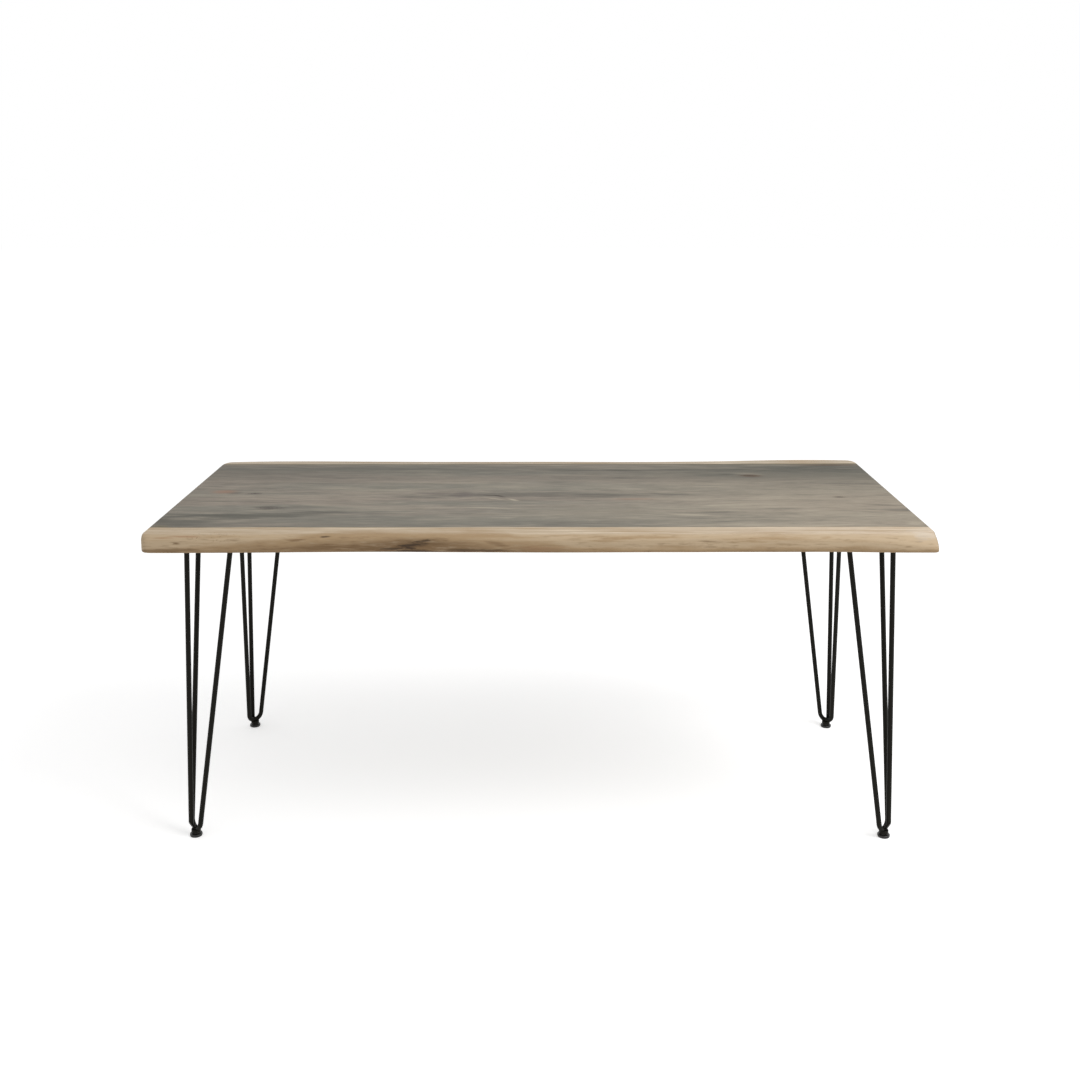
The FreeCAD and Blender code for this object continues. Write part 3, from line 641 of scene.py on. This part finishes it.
# Tan, gold and brown down the face: partly inner-bark colour, partly painted shade towards the
# underside.
sap = blend(fade(low, -0.010, 0.002), cream, SAP_TAN)
sap = tint(sap, sap_streaks, 0.52, 0.28, 0.55, SAP_GOLD)
uneven = low
for layer, shift in ((sap_clouds, 0.022), (sap_streaks, 0.022), (sap_flecks, 0.008)):
    uneven = calc("ADD", uneven, sway(layer, shift))
# gold, then brown lower on the face: partly bark colour, partly painted shade
gold_and_shade = fade(calc("SUBTRACT", uneven, gold_and_shade_low), -0.006, 0.008)
sap = blend(calc("MULTIPLY", gold_and_shade, 0.85), sap, SAP_GOLD)
brown_and_shade = fade(calc("SUBTRACT", uneven, brown_low), -0.003, 0.018)
sap = blend(calc("MULTIPLY", brown_and_shade, brown_and_shade_strength), sap, SAP_BROWN)
grained = fade(low, -0.006, 0.006, 0.15, 0.45)
grained = calc("MULTIPLY", fade(sap_flecks, 0.50, 0.26), grained)
sap = blend(grained, sap, SAP_BROWN)
sap = tint(sap, sap_flecks, 0.52, 0.78, 0.35, SAP_CREAM)
print("sapwood layered")

# %% [markdown]
# ## Marks on the live edge
# A bark pocket sits in the front edge left of the middle: torn dark lines where the bark was folded
# in. Smaller brown marks lie along the edge, with a cloud of pin specks near the left-hand end. A
# pale patch on the front right corner's upturned wane is a painted highlight.

# %% Mark the live edge and join heart to sap
BARK = screen(62, 47, 34)
EDGE_ROSE = screen(166, 128, 98)
FRONT_LINE, FRONT_SLOPE = 0.3285, -0.0062
BACK_LINE, BACK_SLOPE = 0.337, 0.0079
# middle along the edge and below its arris, half length, half height, turn, strength, colour
EDGE_MARKS = (
    (-0.290, 0.024, 0.085, 0.016, -0.10, 0.65, SAP_BROWN),
    (-0.154, 0.034, 0.110, 0.0045, 0.0, 0.60, BARK),
    (-0.050, 0.0085, 0.130, 0.0065, 0.03, 0.75, SAP_TAN),
    (-0.094, 0.019, 0.030, 0.0055, 0.2, 0.50, SAP_BROWN),
    (-0.543, 0.011, 0.026, 0.0050, 0.0, 0.55, SAP_BROWN),
    (-0.478, 0.003, 0.012, 0.0024, -0.1, 0.85, BARK),
    (-0.488, 0.026, 0.090, 0.0080, -0.05, 0.60, SAP_BROWN),
    (-0.377, 0.029, 0.100, 0.0075, 0.0, 0.55, SAP_BROWN),
    (-0.840, 0.035, 0.120, 0.0050, -0.02, 0.65, SAP_BROWN),
    (-0.832, 0.006, 0.036, 0.0026, 0.0, 0.55, EDGE_ROSE),
    (-0.787, 0.003, 0.040, 0.0028, 0.0, 0.55, EDGE_ROSE),
    (-0.806, 0.019, 0.010, 0.0030, 0.0, 0.80, SAP_BROWN),
    (0.010, 0.030, 0.050, 0.0090, 0.0, 0.25, EDGE_ROSE),
    (0.148, 0.010, 0.080, 0.0038, -0.04, 0.60, SAP_GOLD),
    (0.240, 0.003, 0.090, 0.0040, 0.0, 0.65, SAP_GOLD),
    (0.378, 0.013, 0.036, 0.0026, 0.05, 0.50, SAP_BROWN),
    (0.478, 0.013, 0.070, 0.0030, 0.0, 0.65, SAP_GOLD),
    (0.556, 0.005, 0.080, 0.0036, 0.0, 0.60, SAP_GOLD),
    (0.640, 0.003, 0.022, 0.0050, 0.0, 0.60, SAP_GOLD),
    (0.844, 0.013, 0.009, 0.0018, 0.0, 0.30, SAP_BROWN),
    (0.820, 0.024, 0.009, 0.0018, 0.0, 0.30, SAP_BROWN),
    # painted highlight on the upturned wane at the front right corner
    (0.872, -0.003, 0.050, 0.0160, 0.0, 0.50, WANE_PAINTED_HIGHLIGHT),
)
BARK_FOLDS = (
    (-0.258, 0.012, 0.022, 0.0050, -0.10, 0.95, BARK),
    (-0.288, 0.023, 0.040, 0.0085, -0.22, 0.95, BARK),
    (-0.321, 0.030, 0.036, 0.0045, -0.05, 0.75, BARK),
    (-0.275, 0.035, 0.080, 0.0038, 0.0, 0.75, BARK),
)
torn = calc("ADD", sway(sap_streaks, 1.8), sway(sap_flecks, 2.2))
folded = streaks(place, (20.0, 40.0, 190.0), detail=4.0, roughness=0.7, distortion=0.8)
folded = sway(folded, 3.6)
marked = set_marks(sap, edge_sheet, torn, EDGE_MARKS)
marked = set_marks(marked, edge_sheet, folded, BARK_FOLDS)
pins = streaks(place, (190.0, 190.0, 300.0), detail=1.0)
pinned = calc(
    "MULTIPLY", fade(pins, 0.64, 0.72, 0.0, 0.6),
    fade(mark_gap(edge_sheet, -0.730, 0.004, 0.085, 0.016), 1.0, 0.4),
)
marked = blend(pinned, marked, SAP_BROWN)
sap = blend(on_front, sap, marked)

wander = streaks(place, (7.0, 1.0, 1.0))
line_y = calc("ADD", wood_y, sway(wander, 0.010))
line_y = calc("ADD", line_y, sway(fibres, 0.005))
front_line = calc("ADD", line_y, calc("MULTIPLY_ADD", wood_x, FRONT_SLOPE, FRONT_LINE))
back_line = calc("SUBTRACT", line_y, calc("MULTIPLY_ADD", wood_x, BACK_SLOPE, BACK_LINE))
heart = tint(heart, back_line, -0.018, -0.003, 0.60, OLIVE)
heart = tint(heart, front_line, 0.008, 0.001, 0.30, OLIVE)
front_sap = fade(front_line, 0.0015, -0.0015)
back_sap = fade(back_line, -0.0015, 0.0015)
is_sap = calc("MAXIMUM", front_sap, back_sap)
long_grain = blend(is_sap, heart, sap)
print("set", len(EDGE_MARKS) + len(BARK_FOLDS), "marks into the live edge")

# %% [markdown]
# ## End grain, sheen and relief
# On the sawn ends the saw has cut across the fibres, so the growth rings show as arcs round the
# log's heart and the wood looks darker. The oiled surface is matt and a little uneven: the fibres
# and pores drive both its roughness and a very low bump.

# %% Finish the wood
PITH_Y, PITH_Z, RING_SPACING = 0.02, 0.60, 0.0055
CUT_START, CUT_FULL = HALF_LENGTH - 0.0022, HALF_LENGTH - 0.0012
END_TINT = (0.80, 0.76, 0.70, 1.0)

ring_y = calc("SUBTRACT", wood_y, PITH_Y)
ring_z = calc("SUBTRACT", wood_z, PITH_Z)
square_y, square_z = (calc("MULTIPLY", side, side) for side in (ring_y, ring_z))
radius = calc("SQRT", calc("ADD", square_y, square_z))
radius = calc("MULTIPLY_ADD", streaks(place, (1.0, 14.0, 14.0)), 0.018, radius)
rings = calc("SINE", calc("MULTIPLY", radius, 2 * math.pi / RING_SPACING))
cut = blend(1.0, long_grain, END_TINT, "MULTIPLY")
cut = tint(cut, rings, 0.1, 1.0, 0.45, KNOT_BROWN)
at_end = fade(calc("ABSOLUTE", wood_x), CUT_START, CUT_FULL)
fill(wood_shader, {
    "Base Color": blend(at_end, long_grain, cut),
    "Roughness": fade(fibres, 0.25, 0.75, 0.70, 0.56),
    "Specular IOR Level": 0.25,
})
raise_grain(wood_shader, calc("MULTIPLY_ADD", pores, 0.5, fibres), 0.35, 0.0006)

finish_piece("live_edge_slab", slab, "table", "slab_wood", wood, "tabletop_slab")

# %% [markdown]
# ## Black powder coat
# The legs are mild steel, sprayed with dry powder and baked. The coat is a warm near-black with a
# satin sheen. A slow noise varies colour and gloss, a finer one adds paler specks, and the finest
# gives a faint orange peel. The CAD rods, plates and bosses already have their true shapes, so only
# their finish changes.

# %% Coat the steel
coat, tree, coat_shader = new_material("black_powder_coat")
place = object_place(tree)[0]
clouds = streaks(place, (9.0, 9.0, 9.0))
peel = streaks(place, (620.0, 620.0, 620.0), detail=2.0)
specks = streaks(place, (240.0, 240.0, 240.0))
black = blend(fade(clouds, 0.3, 0.7), screen(9, 9, 7), screen(14, 13, 11))
black = tint(black, specks, 0.64, 0.78, 0.30, screen(36, 34, 29))
fill(coat_shader, {
    "Base Color": black, "Roughness": fade(clouds, 0.25, 0.75, 0.40, 0.52),
    "Specular IOR Level": 0.14, "Specular Tint": (1.0, 0.96, 0.82, 1.0),
})
raise_grain(coat_shader, peel, 0.30, 0.00012)

# each leg with its side of the table along x and y
LEGS = {
    "front_left": (-1, -1), "front_right": (1, -1), "rear_right": (1, 1), "rear_left": (-1, 1),
}
COATED = ("mounting_plate", "hairpin_rod", "corner_rod", "foot_boss")
for part in COATED:
    for leg in LEGS:
        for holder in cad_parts[f"{part}_{leg}"].material_slots:
            holder.material = coat
print("coated", len(COATED) * len(LEGS), "steel nodes")

# %% [markdown]
# ## Blackened steel and moulded plastic
# Screws and levelling stems are blackened steel: dark and metallic, with a finer skin than the coat.
# The pads are moulded nylon, glossy, and scuffed paler near the floor where they are pushed about.

# %% Blacken the fasteners and mould the pads
def blackened_steel(name, tone, rough):
    """A dark oxide finish on steel, with faint turning lines and paler rubbed spots."""
    steel, tree, shader = new_material(name)
    place = object_place(tree)[0]
    rubbed = streaks(place, (130.0, 130.0, 130.0), detail=4.0, roughness=0.6)
    lines = streaks(place, (90.0, 90.0, 2600.0), detail=1.0)
    paler = tuple(2.6 * level for level in tone[:3]) + (1.0,)
    fill(shader, {
        "Base Color": blend(fade(rubbed, 0.5, 0.8), tone, paler),
        "Roughness": fade(rubbed, 0.3, 0.7, rough + 0.08, rough - 0.06), "Metallic": 0.7,
    })
    raise_grain(shader, lines, 0.15, 0.00004)
    return steel


screw_steel = blackened_steel("blackened_screw_steel", screen(50, 48, 45), 0.40)
stem_steel = blackened_steel("blackened_stem_steel", screen(58, 56, 53), 0.34)

nylon, tree, nylon_shader = new_material("moulded_black_nylon")
place, _, _, nylon_z = object_place(tree)
grazes = streaks(place, (420.0, 420.0, 160.0), detail=4.0, roughness=0.7)
low_down = fade(nylon_z, 0.0035, 0.0005)
scuffed = calc("MULTIPLY", low_down, fade(grazes, 0.45, 0.70))
fill(nylon_shader, {
    "Base Color": blend(scuffed, screen(22, 21, 19), screen(66, 63, 57)),
    "Roughness": fade(grazes, 0.35, 0.75, 0.24, 0.42),
})
raise_grain(nylon_shader, grazes, 0.12, 0.00008)
print("finishes for screws, stems and pads ready")

# %% [markdown]
# ## Weld beads
# Each rod is welded to its plate with one bead all round. A bead is a small ring: a circle spun about
# the rod's axis. Its ripples are the places where the welder paused, so the ring swells and sinks on
# its way round.

# %% Weld the rods to the plates
ROD_RADIUS = 0.006
BEAD_RADIUS = 0.0021
BEAD_STEPS, BEAD_RIPPLES, BEAD_LOBES = 52, 13, 3
BEAD_OUT, BEAD_SINK = 0.4, 0.0008
BEAD_SWELL, BEAD_SWAY, BEAD_PHASE = 0.035, 0.02, 40
CORNER_X, CORNER_Y, ROD_SPACING = 0.813, 0.302, 0.103
ARM_LEAN, ARM_TWIST, CORNER_LEAN = 0.1362, 0.0259, 0.0202
PLATE_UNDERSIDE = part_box("mounting_plate_front_left")[0][2]


def rod_tops(leg):
    """Where a leg's three rods meet the plate, with how far each leans for one metre of height."""
    side_x, side_y = LEGS[leg]
    x, y = side_x * CORNER_X, side_y * CORNER_Y
    return (
        (x, y, -side_x * CORNER_LEAN, -side_y * CORNER_LEAN),
        (x - side_x * ROD_SPACING, y, -side_x * ARM_LEAN, -side_y * ARM_TWIST),
        (x, y - side_y * ROD_SPACING, -side_x * ARM_TWIST, -side_y * ARM_LEAN),
    )


def edges_of(verts):
    """The edges that meet some points."""
    return list({edge for vert in verts for edge in vert.link_edges})


def spin_round(shape, geom, steps):
    """Spins points and edges once round the Z axis and closes the seam."""
    bmesh.ops.spin(shape, geom=geom, axis=(0, 0, 1), angle=2 * math.pi, steps=steps, use_merge=True)


def add_bead(shape, x, y, lean_x, lean_y):
    """One rippled bead round a rod, with its upper half let into the plate."""
    ring = bmesh.ops.create_circle(shape, segments=10, radius=BEAD_RADIUS)["verts"]
    bmesh.ops.rotate(shape, verts=ring, matrix=Matrix.Rotation(math.pi / 2, 3, "X"))
    seat = (ROD_RADIUS + BEAD_OUT * BEAD_RADIUS, 0, -BEAD_SINK)
    bmesh.ops.translate(shape, verts=ring, vec=seat)
    first = set(shape.verts) - set(ring)
    spin_round(shape, ring + edges_of(ring), BEAD_STEPS)
    bead = [vert for vert in shape.verts if vert not in first]
    for vert in bead:
        turn = math.atan2(vert.co.y, vert.co.x)
        swell = 1 + BEAD_SWELL * math.sin(BEAD_RIPPLES * turn)
        swell += BEAD_SWAY * math.sin(BEAD_LOBES * turn + BEAD_PHASE * x)
        vert.co.x *= swell
        vert.co.y *= swell
        vert.co.x += vert.co.z * lean_x + x
        vert.co.y += vert.co.z * lean_y + y
        vert.co.z += PLATE_UNDERSIDE


for leg in LEGS:
    beads = bmesh.new()
    for top in rod_tops(leg):
        add_bead(beads, *top)
    finish_piece(f"plate_weld_{leg}", beads, "table", "leg_paint", coat)

# %% [markdown]
# ## Welds at the bend
# Low down, the straight rod lies against the outside of the bend. The welder fills the hollow on
# either side of the touching line with a short run. Each run is a ball stretched along that hollow
# and rippled across it.

# %% Weld the straight rods to the bends
BEND_RADIUS = 0.0195
BEND_BOTTOM = 0.019
FOOT_X, FOOT_Y = 0.8185, 0.3075
PLANE_LEAN = 0.0811
RUN_START, RUN_END = math.radians(14), math.radians(32)
RUN_WIDTH, RUN_RIPPLES, RUN_SWELL = 0.0018, 5, 0.09


def bend_point(leg, angle, hand):
    """A point on the bend's centre line, at an angle from its lowest point towards one arm."""
    side_x, side_y = LEGS[leg]
    rise = BEND_RADIUS * (1 - math.cos(angle))
    across = hand * BEND_RADIUS * math.sin(angle) / math.sqrt(2)
    inward = rise * PLANE_LEAN
    return Vector((
        side_x * (FOOT_X - inward + across),
        side_y * (FOOT_Y - inward - across),
        BEND_BOTTOM + rise,
    ))


def straight_point(leg, height):
    """A point on the straight rod's centre line at a height above the floor."""
    side_x, side_y = LEGS[leg]
    out = (PLATE_UNDERSIDE - height) * CORNER_LEAN
    return Vector((side_x * (CORNER_X + out), side_y * (CORNER_Y + out), height))


def add_run(shape, leg, hand):
    """One short weld run in the hollow between the straight rod and the bend."""
    ends = []
    for angle in (RUN_START, RUN_END):
        on_bend = bend_point(leg, angle, hand)
        ends.append((on_bend + straight_point(leg, on_bend.z)) / 2)
    middle, reach = (ends[0] + ends[1]) / 2, (ends[1] - ends[0]).length / 2 + RUN_WIDTH
    turn = Vector((0, 0, 1)).rotation_difference(ends[1] - ends[0]).to_matrix()
    ball = bmesh.ops.create_uvsphere(shape, u_segments=14, v_segments=24, radius=1)["verts"]
    for vert in ball:
        width = RUN_WIDTH * (1 + RUN_SWELL * math.sin(RUN_RIPPLES * math.pi * vert.co.z))
        vert.co = Vector((vert.co.x * width, vert.co.y * width, vert.co.z * reach))
    bmesh.ops.rotate(shape, verts=ball, matrix=turn)
    bmesh.ops.translate(shape, verts=ball, vec=middle)


for leg in LEGS:
    runs = bmesh.new()
    for hand in (-1, 1):
        add_run(runs, leg, hand)
    finish_piece(f"bend_weld_{leg}", runs, "table", "leg_paint", coat)

# %% [markdown]
# ## Socket screws
# Five countersunk wood screws hold each plate. Their heads lie just inside the plate's face and show
# a hexagon socket from below. The screw is a half outline spun about its axis, the socket's rim is
# a six-sided circle bridged to the head's edge, and its walls are extruded up into the head.

# %% Turn the screws
SCREW_STEPS = 24
HEAD_RADIUS, HEAD_EASE, SHANK_RADIUS = 0.0047, 0.0003, 0.0023
SOCKET_RADIUS, SOCKET_DEPTH = 0.0021, 0.0016
SCREW_LOW, SCREW_HIGH = (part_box("plate_screws_front_left")[i][2] for i in (0, 1))
POINT_LENGTH = 0.007
PLATE_ARM = 0.032
SCREW_PLACES = (
    (PLATE_ARM / 2, PLATE_ARM / 2),
    (ROD_SPACING / 3, 0), (2 * ROD_SPACING / 3, 0),
    (0, ROD_SPACING / 3), (0, 2 * ROD_SPACING / 3),
)


def spin_outline(shape, outline, steps):
    """Spins a half outline of (radius, height) pairs about Z and closes its seam and poles."""
    verts = [shape.verts.new((radius, 0, height)) for radius, height in outline]
    edges = [shape.edges.new(pair) for pair in zip(verts, verts[1:])]
    spin_round(shape, verts + edges, steps)
    bmesh.ops.remove_doubles(shape, verts=shape.verts, dist=1e-6)


def turn_screw():
    """One socket screw standing on the origin's axis."""
    screw = bmesh.new()
    neck = SCREW_LOW + HEAD_RADIUS - SHANK_RADIUS
    spin_outline(screw, (
        (HEAD_RADIUS - HEAD_EASE, SCREW_LOW), (HEAD_RADIUS, SCREW_LOW + HEAD_EASE),
        (SHANK_RADIUS, neck + HEAD_EASE), (SHANK_RADIUS, SCREW_HIGH - POINT_LENGTH), (0, SCREW_HIGH),
    ), SCREW_STEPS)
    rim = [edge for edge in screw.edges if edge.is_boundary]
    socket = bmesh.ops.create_circle(screw, segments=6, radius=SOCKET_RADIUS)["verts"]
    bmesh.ops.translate(screw, verts=socket, vec=(0, 0, SCREW_LOW))
    hexagon = edges_of(socket)
    bmesh.ops.bridge_loops(screw, edges=rim + hexagon)
    walls = bmesh.ops.extrude_edge_only(screw, edges=hexagon)["geom"]
    floor = [item for item in walls if isinstance(item, bmesh.types.BMVert)]
    bmesh.ops.translate(screw, verts=floor, vec=(0, 0, SOCKET_DEPTH))
    bmesh.ops.holes_fill(screw, edges=[edge for edge in screw.edges if edge.is_boundary], sides=6)
    return screw


pattern = mesh_from("screw_pattern", turn_screw())
for leg, (side_x, side_y) in LEGS.items():
    row = bmesh.new()
    for along_x, along_y in SCREW_PLACES:
        start = len(row.verts)
        row.from_mesh(pattern)
        row.verts.ensure_lookup_table()
        spot = (side_x * (CORNER_X - along_x), side_y * (CORNER_Y - along_y), 0)
        bmesh.ops.translate(row, verts=row.verts[start:], vec=spot)
    finish_piece(
        f"socket_screws_{leg}", row, "table", "screw_steel", screw_steel, f"plate_screws_{leg}",
    )
bpy.data.meshes.remove(pattern)

# %% [markdown]
# ## Levelling stems
# Each foot stands on a threaded stem that screws up into the boss under the bend. A thread is one
# small three-sided ridge that climbs a pitch with every turn, so the spin operator is given a rise
# for each step. The hexagon collar takes a spanner, and the heel turns in the pad.

# %% Thread the stems
STEM_LOW, STEM_HIGH = (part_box("leveller_stem_front_left")[i][2] for i in (0, 1))
COLLAR_LOW, COLLAR_HIGH = 0.0065, 0.0095
COLLAR_RADIUS = 0.0085 / math.cos(math.pi / 6)
HEEL_RADIUS, CORE_RADIUS, CREST_RADIUS = 0.005, 0.0025, 0.00298
HEEL_EASE, TIP_EASE, COLLAR_EASE = 0.0004, 0.0008, 0.0005
NECK_START, NECK_END = 0.0005, 0.0010
PITCH, TURN_STEPS, STEM_STEPS = 0.001, 18, 30
RIDGE_ROOT, THREAD_STOP = CORE_RADIUS - 0.0002, 0.0012
RIDGE = ((RIDGE_ROOT, 0.0002), (CREST_RADIUS, 0.0006), (RIDGE_ROOT, 0.0010))


def round_edges(shape, edges, offset, segments):
    """Rounds edges with a bevel."""
    bmesh.ops.bevel(
        shape, geom=edges, offset=offset, affect="EDGES", segments=segments, profile=0.5, material=-1,
    )


def thread_stem(x, y, quarter_turns):
    """One levelling stem: heel, hexagon collar, core and thread."""
    stem = bmesh.new()
    spin_outline(stem, (
        (0, STEM_LOW), (HEEL_RADIUS - HEEL_EASE, STEM_LOW), (HEEL_RADIUS, STEM_LOW + HEEL_EASE),
        (HEEL_RADIUS, COLLAR_LOW + NECK_START), (CORE_RADIUS, COLLAR_LOW + NECK_END),
        (CORE_RADIUS, STEM_HIGH - TIP_EASE), (CORE_RADIUS - TIP_EASE, STEM_HIGH), (0, STEM_HIGH),
    ), STEM_STEPS)
    collar = bmesh.ops.create_cone(
        stem, cap_ends=True, segments=6, radius1=COLLAR_RADIUS, radius2=COLLAR_RADIUS,
        depth=COLLAR_HIGH - COLLAR_LOW,
    )["verts"]
    bmesh.ops.translate(stem, verts=collar, vec=(0, 0, (COLLAR_LOW + COLLAR_HIGH) / 2))
    round_edges(stem, edges_of(collar), COLLAR_EASE, 2)
    ridge = [stem.verts.new((radius, 0, COLLAR_HIGH + rise)) for radius, rise in RIDGE]
    cap = stem.faces.new(ridge)
    turns = int((STEM_HIGH - THREAD_STOP - COLLAR_HIGH) / PITCH)
    bmesh.ops.spin(
        stem, geom=[cap] + list(cap.edges) + list(cap.verts), axis=(0, 0, 1),
        dvec=(0, 0, PITCH / TURN_STEPS), angle=2 * math.pi * turns, steps=turns * TURN_STEPS,
    )
    turn = Matrix.Rotation(quarter_turns * math.pi / 2, 3, "Z")
    bmesh.ops.rotate(stem, verts=stem.verts, matrix=turn)
    bmesh.ops.translate(stem, verts=stem.verts, vec=(x, y, 0))
    return stem


for quarter_turns, (leg, (side_x, side_y)) in enumerate(LEGS.items()):
    stem = thread_stem(side_x * FOOT_X, side_y * FOOT_Y, quarter_turns)
    finish_piece(
        f"threaded_stem_{leg}", stem, f"stem_{leg}", "stem_steel", stem_steel, f"leveller_stem_{leg}",
    )

# %% [markdown]
# ## Foot pads
# The pad is a moulded disc with a rounded shoulder, a fine groove above its sole and a socket for
# the stem's heel. Its half outline is spun about the stem's axis, and the shoulder and sole are
# then rounded with a bevel.

# %% Mould the foot pads
PAD_RADIUS, PAD_HEIGHT, PAD_FLOOR, PAD_SOCKET = 0.01475, 0.0065, 0.0025, 0.00508
PAD_SOLE, GROOVE_RADIUS = PAD_RADIUS - 0.0006, PAD_RADIUS - 0.0012
GROOVE_LOW, GROOVE_MIDDLE, GROOVE_HIGH = 0.0013, 0.0016, 0.0021
SHOULDER_ROUND, SOLE_ROUND, ROUND_STEPS = 0.0022, 0.0005, 5
PAD_STEPS = 56


def on_circle(vert, radius, height):
    """Whether a point lies on a level circle round the Z axis."""
    return abs(vert.co.z - height) < 1e-6 and abs(vert.co.xy.length - radius) < 1e-5


def mould_pad(x, y):
    """One foot pad about a vertical axis."""
    pad = bmesh.new()
    spin_outline(pad, (
        (0, 0), (PAD_SOLE, 0), (PAD_SOLE, GROOVE_LOW), (GROOVE_RADIUS, GROOVE_MIDDLE),
        (PAD_RADIUS, GROOVE_HIGH), (PAD_RADIUS, PAD_HEIGHT), (PAD_SOCKET, PAD_HEIGHT),
        (PAD_SOCKET, PAD_FLOOR), (0, PAD_FLOOR),
    ), PAD_STEPS)
    for radius, height, offset in (
        (PAD_RADIUS, PAD_HEIGHT, SHOULDER_ROUND), (PAD_SOLE, 0, SOLE_ROUND),
    ):
        rim = [edge for edge in pad.edges if all(on_circle(vert, radius, height) for vert in edge.verts)]
        round_edges(pad, rim, offset, ROUND_STEPS)
    bmesh.ops.translate(pad, verts=pad.verts, vec=(x, y, 0))
    return pad


for leg, (side_x, side_y) in LEGS.items():
    pad = mould_pad(side_x * FOOT_X, side_y * FOOT_Y)
    finish_piece(f"moulded_pad_{leg}", pad, f"foot_{leg}", "pad_plastic", nylon, f"foot_pad_{leg}")

# %% [markdown]
# ## Floor and studio light
# A product like this is shown on seamless white. The floor is a wide, pale sheet that takes soft
# shadows, and the world behind it is white to the camera and in reflections. An even sky lights it
# softly, and one large lamp from the right and front gives the legs their glints and the wood a
# gentle slope from left to right.

# %% Lay the floor
FLOOR_HALF = 30.0
PAPER_GLOW = 0.45
WHITE = (1.0, 1.0, 1.0, 1.0)


def seen_directly(tree):
    """1 for a ray that looks straight, in a mirror or through glass, and 0 for one that lights."""
    rays = tree.nodes.new("ShaderNodeLightPath")
    seen = calc("MAXIMUM", rays.outputs["Is Camera Ray"], rays.outputs["Is Glossy Ray"])
    return calc("MAXIMUM", seen, rays.outputs["Is Transmission Ray"])


sheet = bmesh.new()
bmesh.ops.create_grid(sheet, x_segments=2, y_segments=2, size=FLOOR_HALF)
floor_mesh = mesh_from("studio_floor", sheet)
floor = show("studio_floor", floor_mesh)

paper, tree, paper_shader = new_material("studio_paper")
fill(paper_shader, {
    "Base Color": (0.90, 0.90, 0.90, 1.0), "Roughness": 0.9, "Specular IOR Level": 0.0,
    "Emission Color": WHITE,
    "Emission Strength": calc("MULTIPLY", seen_directly(tree), PAPER_GLOW),
})
floor_mesh.materials.append(paper)
print("floor spans", 2 * FLOOR_HALF, "m")

# %% Light the studio
SKY_LEVEL = 0.62
KEY_WATTS = 75.0
KEY_SIZE = 2.4
KEY_PLACE, KEY_TARGET = Vector((2.4, -1.4, 3.4)), Vector((0.2, 0, 0.6))

sky = bpy.data.worlds.new("studio_sky")
sky.use_nodes = True
bpy.context.scene.world = sky
tree = sky.node_tree
tree.nodes.clear()
background = tree.nodes.new("ShaderNodeBackground")
level = calc("MULTIPLY_ADD", seen_directly(tree), 1.0 - SKY_LEVEL, SKY_LEVEL)
fill(background, {"Color": WHITE, "Strength": level})
world_output = tree.nodes.new("ShaderNodeOutputWorld")
feed(world_output.inputs["Surface"], background.outputs["Background"])

key_light = bpy.data.lights.new("key_softbox", "AREA")
key_light.shape = "SQUARE"
key_light.size = KEY_SIZE
key_light.energy = KEY_WATTS
key = show("key_softbox", key_light)
key.location = KEY_PLACE
key.rotation_euler = (KEY_TARGET - KEY_PLACE).to_track_quat("-Z", "Y").to_euler()
print("sky level", SKY_LEVEL, "key", KEY_WATTS, "W")

# %% [markdown]
# ## Camera
# The view is from straight in front at about eye level, with the lens tipped down by less than nine
# degrees. Its numbers come from fitting one perspective to the legs, feet and edges in a square
# picture of 1080 by 1080 pixels. The lens axis meets that picture above its middle, which is a
# vertical shift.

# %% Set up the camera
PICTURE = 1080
FOCAL_PIXELS = 1248.11
AXIS_ROW = 379.24
CAMERA_HEIGHT, CAMERA_DISTANCE = 1.51946, 3.08536
PITCH_DOWN, YAW = math.radians(8.602), 0.00291
SENSOR = 36.0

lens = bpy.data.cameras.new("front_view")
lens.sensor_width = SENSOR
lens.lens = SENSOR * FOCAL_PIXELS / PICTURE
lens.shift_y = (AXIS_ROW - PICTURE / 2) / PICTURE
camera = show("front_view", lens)
camera.location = (
    CAMERA_DISTANCE * math.sin(YAW), -CAMERA_DISTANCE * math.cos(YAW), CAMERA_HEIGHT,
)
camera.rotation_euler = (math.pi / 2 - PITCH_DOWN, 0, YAW)
bpy.context.scene.camera = camera
bpy.context.scene.view_settings.view_transform = "Standard"
print("lens", round(lens.lens, 2), "mm, shift", round(lens.shift_y, 4))
